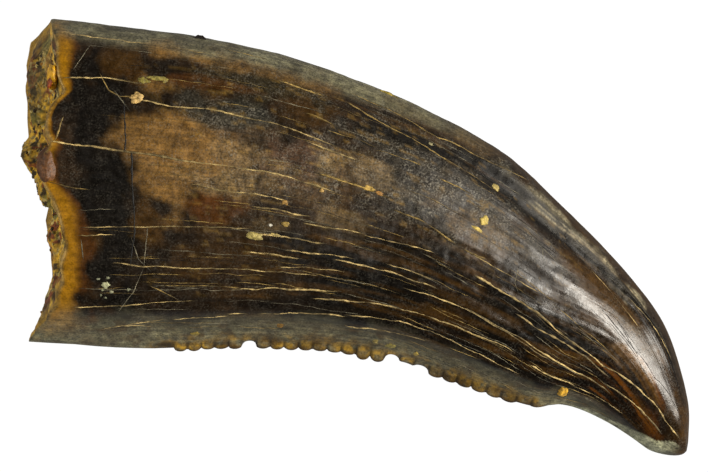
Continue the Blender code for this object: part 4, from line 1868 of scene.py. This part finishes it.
@dataclass
class Rubble:
    """The chips and crumbs that lie on the broken face.

    Attributes:
        sediment: What they lie on.
        stones: The ones that stand out in the photograph.
        crumbs: How many small ones are strewn besides.
        rings: Rings of points on each.
        spokes: Points round each ring.
        seed: Another seed strews them in another way.
        sizes: Least and greatest half size of a small one.
        stretch: How much less and more it may be in each direction.
        bare_middle: Rings of the face, from its middle out, on which none are strewn.
        bare_rim: The same at its rim.
        sunk: How deep a small one sits in the face, as a share of its size.
    """

    sediment: Sediment
    stones: tuple[Stone, ...] = STONES
    crumbs: int = 260
    rings: int = 11
    spokes: int = 20
    seed: int = 11
    sizes: Range = (0.012, 0.042)
    stretch: Range = (0.7, 1.3)
    bare_middle: int = 20
    bare_rim: int = 4
    sunk: float = 0.4

    def strewn(self) -> list[Stone]:
        """The small crumbs, at random places of the sediment's face, but for its middle and its rim.

        Returns:
            The crumbs.
        """
        chance = np.random.default_rng(self.seed)
        last = self.sediment.face_rings - self.bare_rim
        face = self.sediment.rings()[self.bare_middle : last].reshape(-1, 3)
        made = []
        for place in face[chance.integers(0, len(face), self.crumbs)]:
            size = chance.uniform(*self.sizes)
            half = tuple(float(v) for v in size * chance.uniform(*self.stretch, 3))
            middle = (float(place[0]) + self.sunk * size, float(place[1]), float(place[2]))
            made.append(Stone(middle, half, CRUMB_COLOURS[int(chance.integers(len(CRUMB_COLOURS)))]))
        return made

    def lump(self, stone: Stone, seed: int) -> Array:
        """One stone: a globe made blocky by the cube root of its cubed directions' sum, and ragged by noise.

        Args:
            stone: The stone.
            seed: Another seed gives another shape.

        Returns:
            The points by ring and spoke.
        """
        polar = (np.arange(1, self.rings + 1) / (self.rings + 1) * math.pi)[:, None]
        spoke = np.arange(self.spokes) / self.spokes * FULL_TURN
        upright = np.broadcast_to(np.cos(polar), (self.rings, self.spokes))
        way = np.stack((np.sin(polar) * np.cos(spoke), np.sin(polar) * np.sin(spoke), upright), axis=-1)
        blocky = way / np.sum(np.abs(way) ** 3, axis=-1, keepdims=True) ** (1 / 3)
        ragged = 0.86 + 0.30 * cloud(way + seed * 7.0, 0.9, 137, 4)
        return np.array(stone.middle) + np.array(stone.half) * blocky * ragged[..., None]

    def build(self) -> Piece:
        """Every stone and crumb, joined in one mesh, each shaded by noise.

        Returns:
            The piece.
        """
        heap = Heap()
        for seed, stone in enumerate([*self.stones, *self.strewn()]):
            shell = Shell.closed(self.lump(stone, seed)[:, ::-1])
            shade = 1 + 0.35 * cloud(shell.points(), 0.12, 139, 2)
            heap.add(shell.points(), shell.faces(), light_of(stone.colour) * shade[:, None])
        return heap.make("rubble", CrumbFinish("rubble", roughness=0.5))


def dressed(piece: Piece) -> Piece:
    """Lets a finished piece ride on the tooth's one body.

    Args:
        piece: The piece.

    Returns:
        The same piece.
    """
    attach(piece, "root")
    return piece


# The range in which most of the values of a noise node lie.
MID_NOISE = (0.3, 0.7)
WHITE = (1.0, 1.0, 1.0, 1.0)


class NodeTree:
    """The nodes of a material or a world, with short ways of adding and joining them."""

    def __init__(self, owner: bpy.types.Material | bpy.types.World, shader: str) -> None:
        """Starts from the owner's plain shader, found by its name.

        Args:
            owner: The material or the world.
            shader: Name of its shader node.
        """
        owner.use_nodes = True
        self.owner = owner
        self.shader = owner.node_tree.nodes[shader]

    @classmethod
    def of_material(cls, name: str) -> "NodeTree":
        """The nodes of a new material."""
        return cls(bpy.data.materials.new(name), "Principled BSDF")

    def feed(self, node: bpy.types.Node, inputs: Inputs) -> None:
        """Gives a node its inputs.

        Args:
            node: The node.
            inputs: By name or number, a socket to join to each input or the value that it is set to.
        """
        for key, value in inputs.items():
            if isinstance(value, Socket):
                self.owner.node_tree.links.new(value, node.inputs[key])
            else:
                node.inputs[key].default_value = value

    def add(self, kind: str, inputs: Inputs, **settings: object) -> bpy.types.Node:
        """Adds a node.

        Args:
            kind: The node's type.
            inputs: What feed() gives it.
            **settings: Its own settings by name.

        Returns:
            The node.
        """
        node = self.owner.node_tree.nodes.new(kind)
        for key, value in settings.items():
            setattr(node, key, value)
        self.feed(node, inputs)
        return node

    def attribute(self, name: str, output: str = "Fac") -> Socket:
        """Reads what is stored on the vertices under a name."""
        return self.add("ShaderNodeAttribute", {}, attribute_name=name).outputs[output]

    def noise(self, vector: Socket, scale: float, detail: float = 2.0) -> Socket:
        """Noise from 0 to 1, with the given number of cells per unit of the vector."""
        inputs = {"Vector": vector, "Scale": scale, "Detail": detail}
        return self.add("ShaderNodeTexNoise", inputs).outputs["Fac"]

    def remap(self, value: Socket, old: Range, new: Range, curve: str = "LINEAR") -> Socket:
        """Maps one range of values to another, and clamps what lies past its ends."""
        inputs = {"Value": value, "From Min": old[0], "From Max": old[1], "To Min": new[0], "To Max": new[1]}
        return self.add("ShaderNodeMapRange", inputs, interpolation_type=curve).outputs["Result"]

    def combine(self, operation: str, a: Socket, b: Socket) -> Socket:
        """One number worked out from two, by the named operation."""
        return self.add("ShaderNodeMath", {0: a, 1: b}, operation=operation).outputs[0]

    def mix(self, share: Socket, a: Socket, b: tuple[float, ...]) -> Socket:
        """Mixes two colours by a share."""
        return self.add("ShaderNodeMix", {"Factor": share, 6: a, 7: (*b, 1.0)}, data_type="RGBA").outputs[2]

    def scaled(self, colour: Socket, factor: Socket) -> Socket:
        """A colour made lighter or darker by a factor."""
        return self.add("ShaderNodeVectorMath", {0: colour, "Scale": factor}, operation="SCALE").outputs[0]

    def bump(self, height: Socket, distance: float, under: Socket | None = None) -> Socket:
        """Bumps of the given height in metres, on top of those under them."""
        inputs = {"Height": height, "Distance": distance} | ({"Normal": under} if under else {})
        return self.add("ShaderNodeBump", inputs).outputs["Normal"]


@dataclass(frozen=True)
class EnamelFinish:
    """Old enamel: polished but finely grained, darkly mottled, with strands along the crown and pale specks
    that are painted glints.

    Attributes:
        mottle: Cells per metre of the mottling.
        glint_scale: Cells per metre of the painted glints.
        patch: Cells per metre of the patches in which the painted glints lie closer.
        grain: Cells per metre of the fine bumps.
        strand: How much finer the strands are along and across the crown than the texture's millimetres.
        glint_colour: What the painted glints look like, as light.
        mottle_shade: Darkest and lightest factor on the colour, by the mottling.
        strand_shade: The same by the strands.
        grain_shade: The same by the grain.
        glint_share: Least and most that painted glints cover the enamel.
        patch_share: The same as a factor, by the patches.
        strand_bump: Height of the strands, in metres.
        grain_bump: Height of the grain, in metres.
        ior: Index of refraction.
    """

    mottle: float = 9000.0
    glint_scale: float = 32000.0
    patch: float = 5000.0
    grain: float = 30000.0
    strand: Triple = (0.9, 16.0, 1.0)
    glint_colour: Triple = (0.36, 0.33, 0.26)
    mottle_shade: Range = (0.50, 1.50)
    strand_shade: Range = (0.42, 1.06)
    grain_shade: Range = (0.5, 1.4)
    glint_share: Range = (0.0, 0.62)
    patch_share: Range = (0.25, 1.25)
    strand_bump: float = 0.0000016
    grain_bump: float = 0.0000020
    ior: float = 1.41

    def material(self) -> bpy.types.Material:
        """The material. Its colour, specks and roughness come from the values stored on the vertices.

        The colour is shaded by the product of three noises, less so where few painted glints are, and strewn
        with pale specks of painted glints.

        Returns:
            The material.
        """
        tree = NodeTree.of_material("enamel")
        place = tree.add("ShaderNodeTexCoord", {}).outputs["Object"]
        mottling = tree.noise(place, self.mottle, 4.0)
        fine = tree.noise(place, self.grain, 2.0)
        flow = tree.add("ShaderNodeUVMap", {}, uv_map="flow").outputs["UV"]
        strands = tree.add("ShaderNodeMapping", {"Vector": flow, "Scale": self.strand}).outputs["Vector"]
        streaks = tree.noise(strands, 1.0, 3.0)
        specks = tree.attribute("specks")
        gloss = tree.attribute("gloss")
        shade = tree.remap(mottling, MID_NOISE, self.mottle_shade)
        shade = tree.combine("MULTIPLY", shade, tree.remap(streaks, MID_NOISE, self.strand_shade))
        shade = tree.combine("MULTIPLY", shade, tree.remap(fine, (0.3, 0.6), self.grain_shade))
        shade = tree.combine("POWER", shade, tree.remap(specks, (0.05, 0.5), (0.45, 1.0)))
        colour = tree.scaled(tree.attribute("tint", "Color"), shade)
        # Pale specks mixed into the base colour: painted glints of tiny facets.
        glint_dots = tree.remap(tree.noise(place, self.glint_scale, 5.0), (0.48, 0.76), self.glint_share)
        patches = tree.remap(tree.noise(place, self.patch, 3.0), (0.40, 0.62), self.patch_share)
        strewn = tree.combine("MULTIPLY", tree.combine("MULTIPLY", glint_dots, patches), specks)
        grain = tree.combine("MULTIPLY", fine, tree.remap(gloss, (0.18, 0.34), (0.45, 1.0)))
        look = {
            "Base Color": tree.mix(strewn, colour, self.glint_colour),
            "Roughness": tree.combine("ADD", gloss, tree.remap(mottling, MID_NOISE, (-0.06, 0.10))),
            "Normal": tree.bump(streaks, self.strand_bump, tree.bump(grain, self.grain_bump)),
            "IOR": self.ior,
        }
        tree.feed(tree.shader, look)
        return tree.owner


@dataclass(frozen=True)
class CrumbFinish:
    """Crumbly sediment: dull and grainy, in the colour stored on the vertices.

    Attributes:
        name: The material's name.
        roughness: 0 is a mirror and 1 is chalk.
        bumps: Height of its grain.
        grain: Cells per metre of its grain.
        shade: Darkest and lightest factor on the colour, by the grain.
        ior: Index of refraction.
    """

    name: str
    roughness: float = 0.75
    bumps: float = 0.014
    grain: float = 16000.0
    shade: Range = (0.45, 1.5)
    ior: float = 1.4

    def material(self) -> bpy.types.Material:
        """The material: its grain shades the colour and lifts the surface.

        Returns:
            The material.
        """
        tree = NodeTree.of_material(self.name)
        grain = tree.noise(tree.add("ShaderNodeTexCoord", {}).outputs["Object"], self.grain, 4.0)
        shade = tree.remap(grain, MID_NOISE, self.shade)
        look = {
            "Base Color": tree.scaled(tree.attribute("tint", "Color"), shade),
            "Roughness": self.roughness,
            "Normal": tree.bump(grain, self.bumps * MM),
            "IOR": self.ior,
        }
        tree.feed(tree.shader, look)
        return tree.owner


@dataclass(frozen=True)
class Lamp:
    """A square soft light: where it is, how wide it is, and how bright its face is."""

    name: str
    place: Triple
    width: float
    radiance: float


@dataclass(frozen=True)
class Studio:
    """The pale floor, the soft lights and the camera.

    Attributes:
        frame_width: Width of the picture at the tooth.
        focus_height: The height above the floor where that width holds.
        centre: The plan point in the middle of the picture.
        lens: Focal length.
        sensor: Width of the sensor.
        clip: Nearest and furthest distance that the camera sees, in metres.
        floor_width: Width of the floor.
        floor_drop: How far the floor lies under the tooth's lowest point.
        floor_tone: The floor's own grey. Most of its brightness is its own light.
        lamps: The soft lights.
        warmth: The colour of their light.
        zenith: Brightness of the surroundings overhead.
        horizon: Their brightness at eye level and below.
    """

    frame_width: float = 12.1
    focus_height: float = 1.4
    centre: Range = (-0.01, 0.026)
    lens: float = 400.0
    sensor: float = 36.0
    clip: Range = (0.001, 5.0)
    floor_width: float = 900.0
    floor_drop: float = 0.01
    floor_tone: float = 0.03
    lamps: tuple[Lamp, ...] = (
        Lamp("key_light", (71.0, -9.0, 69.0), 32.0, 33.0),
        Lamp("low_key_light", (90.0, -5.0, 44.0), 28.0, 18.0),
        Lamp("front_light", (74.0, 46.0, 46.0), 24.0, 8.0),
        Lamp("left_light", (-80.0, 10.0, 60.0), 60.0, 4.0),
    )
    warmth: Triple = (1.0, 0.94, 0.84)
    zenith: float = 0.05
    horizon: float = 0.25

    def build(self) -> None:
        """Puts the whole studio in the scene."""
        self.floor()
        self.surroundings()
        for lamp in self.lamps:
            self.light(lamp)
        self.camera()

    def floor(self) -> None:
        """A plain pale sheet, a little below the tooth's lowest point. It shines evenly, and isn't mirrored.
        """
        signs = np.array(((-1, -1), (1, -1), (1, 1), (-1, 1)))
        corners = np.column_stack((signs * self.floor_width / 2, np.full(len(signs), -self.floor_drop)))
        sheet = mesh_object("floor", corners, [[0, 1, 2, 3]])
        tree = NodeTree.of_material("floor")
        grey = (*[self.floor_tone] * 3, 1.0)
        look = {"Base Color": grey, "Roughness": 0.9, "Emission Color": WHITE, "Emission Strength": 1.0}
        tree.feed(tree.shader, look)
        sheet.data.materials.append(tree.owner)
        sheet.visible_glossy = False

    def surroundings(self) -> None:
        """A room that is dim overhead and brighter at eye level and below."""
        tree = NodeTree(bpy.data.worlds.new("room"), "Background")
        bpy.context.scene.world = tree.owner
        place = tree.add("ShaderNodeTexCoord", {}).outputs["Generated"]
        height = tree.add("ShaderNodeSeparateXYZ", {0: place}).outputs["Z"]
        strength = tree.remap(height, (0.0, 0.5), (self.horizon, self.zenith), "SMOOTHSTEP")
        tree.feed(tree.shader, {"Strength": strength, "Color": WHITE})

    def light(self, lamp: Lamp) -> None:
        """A square lamp turned towards the tooth. Its power is its radiance times pi times its area.

        Args:
            lamp: The lamp.
        """
        data = bpy.data.lights.new(lamp.name, "AREA")
        data.size = lamp.width * MM
        data.energy = lamp.radiance * math.pi * data.size**2
        data.color = self.warmth
        made = bpy.data.objects.new(lamp.name, data)
        made.location = Vector(lamp.place) * MM
        made.rotation_euler = (-made.location).to_track_quat("-Z", "Y").to_euler()
        made.visible_camera = False
        bpy.context.scene.collection.objects.link(made)

    def camera(self) -> None:
        """A camera that looks straight down, as far off as the lens needs for the picture's width."""
        data = bpy.data.cameras.new("camera")
        data.sensor_width = self.sensor
        data.lens = self.lens
        distance = self.frame_width * self.lens / self.sensor
        data.clip_start, data.clip_end = self.clip
        made = bpy.data.objects.new("camera", data)
        made.location = Vector((*self.centre, self.focus_height + distance)) * MM
        bpy.context.scene.collection.objects.link(made)
        bpy.context.scene.camera = made


def main() -> None:
    """Builds every piece, then the studio."""
    logging.basicConfig(level=logging.INFO, format="%(message)s")
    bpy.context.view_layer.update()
    surface = CrownSurface(CrownForm(), Denticles(), Relief())
    sediment = Sediment(surface.form)
    pieces = [Tooth(surface).build(), sediment.build(), Rubble(sediment).build(), CrustSet(surface).build()]
    pieces += [CrackSet(surface, fill).build() for fill in Fill]
    for piece in pieces:
        log.info("%s: %d faces", piece.name, len(piece.data.polygons))
    Studio().build()
    bpy.context.scene.view_settings.view_transform = "Standard"


if __name__ == "__main__":
    main()
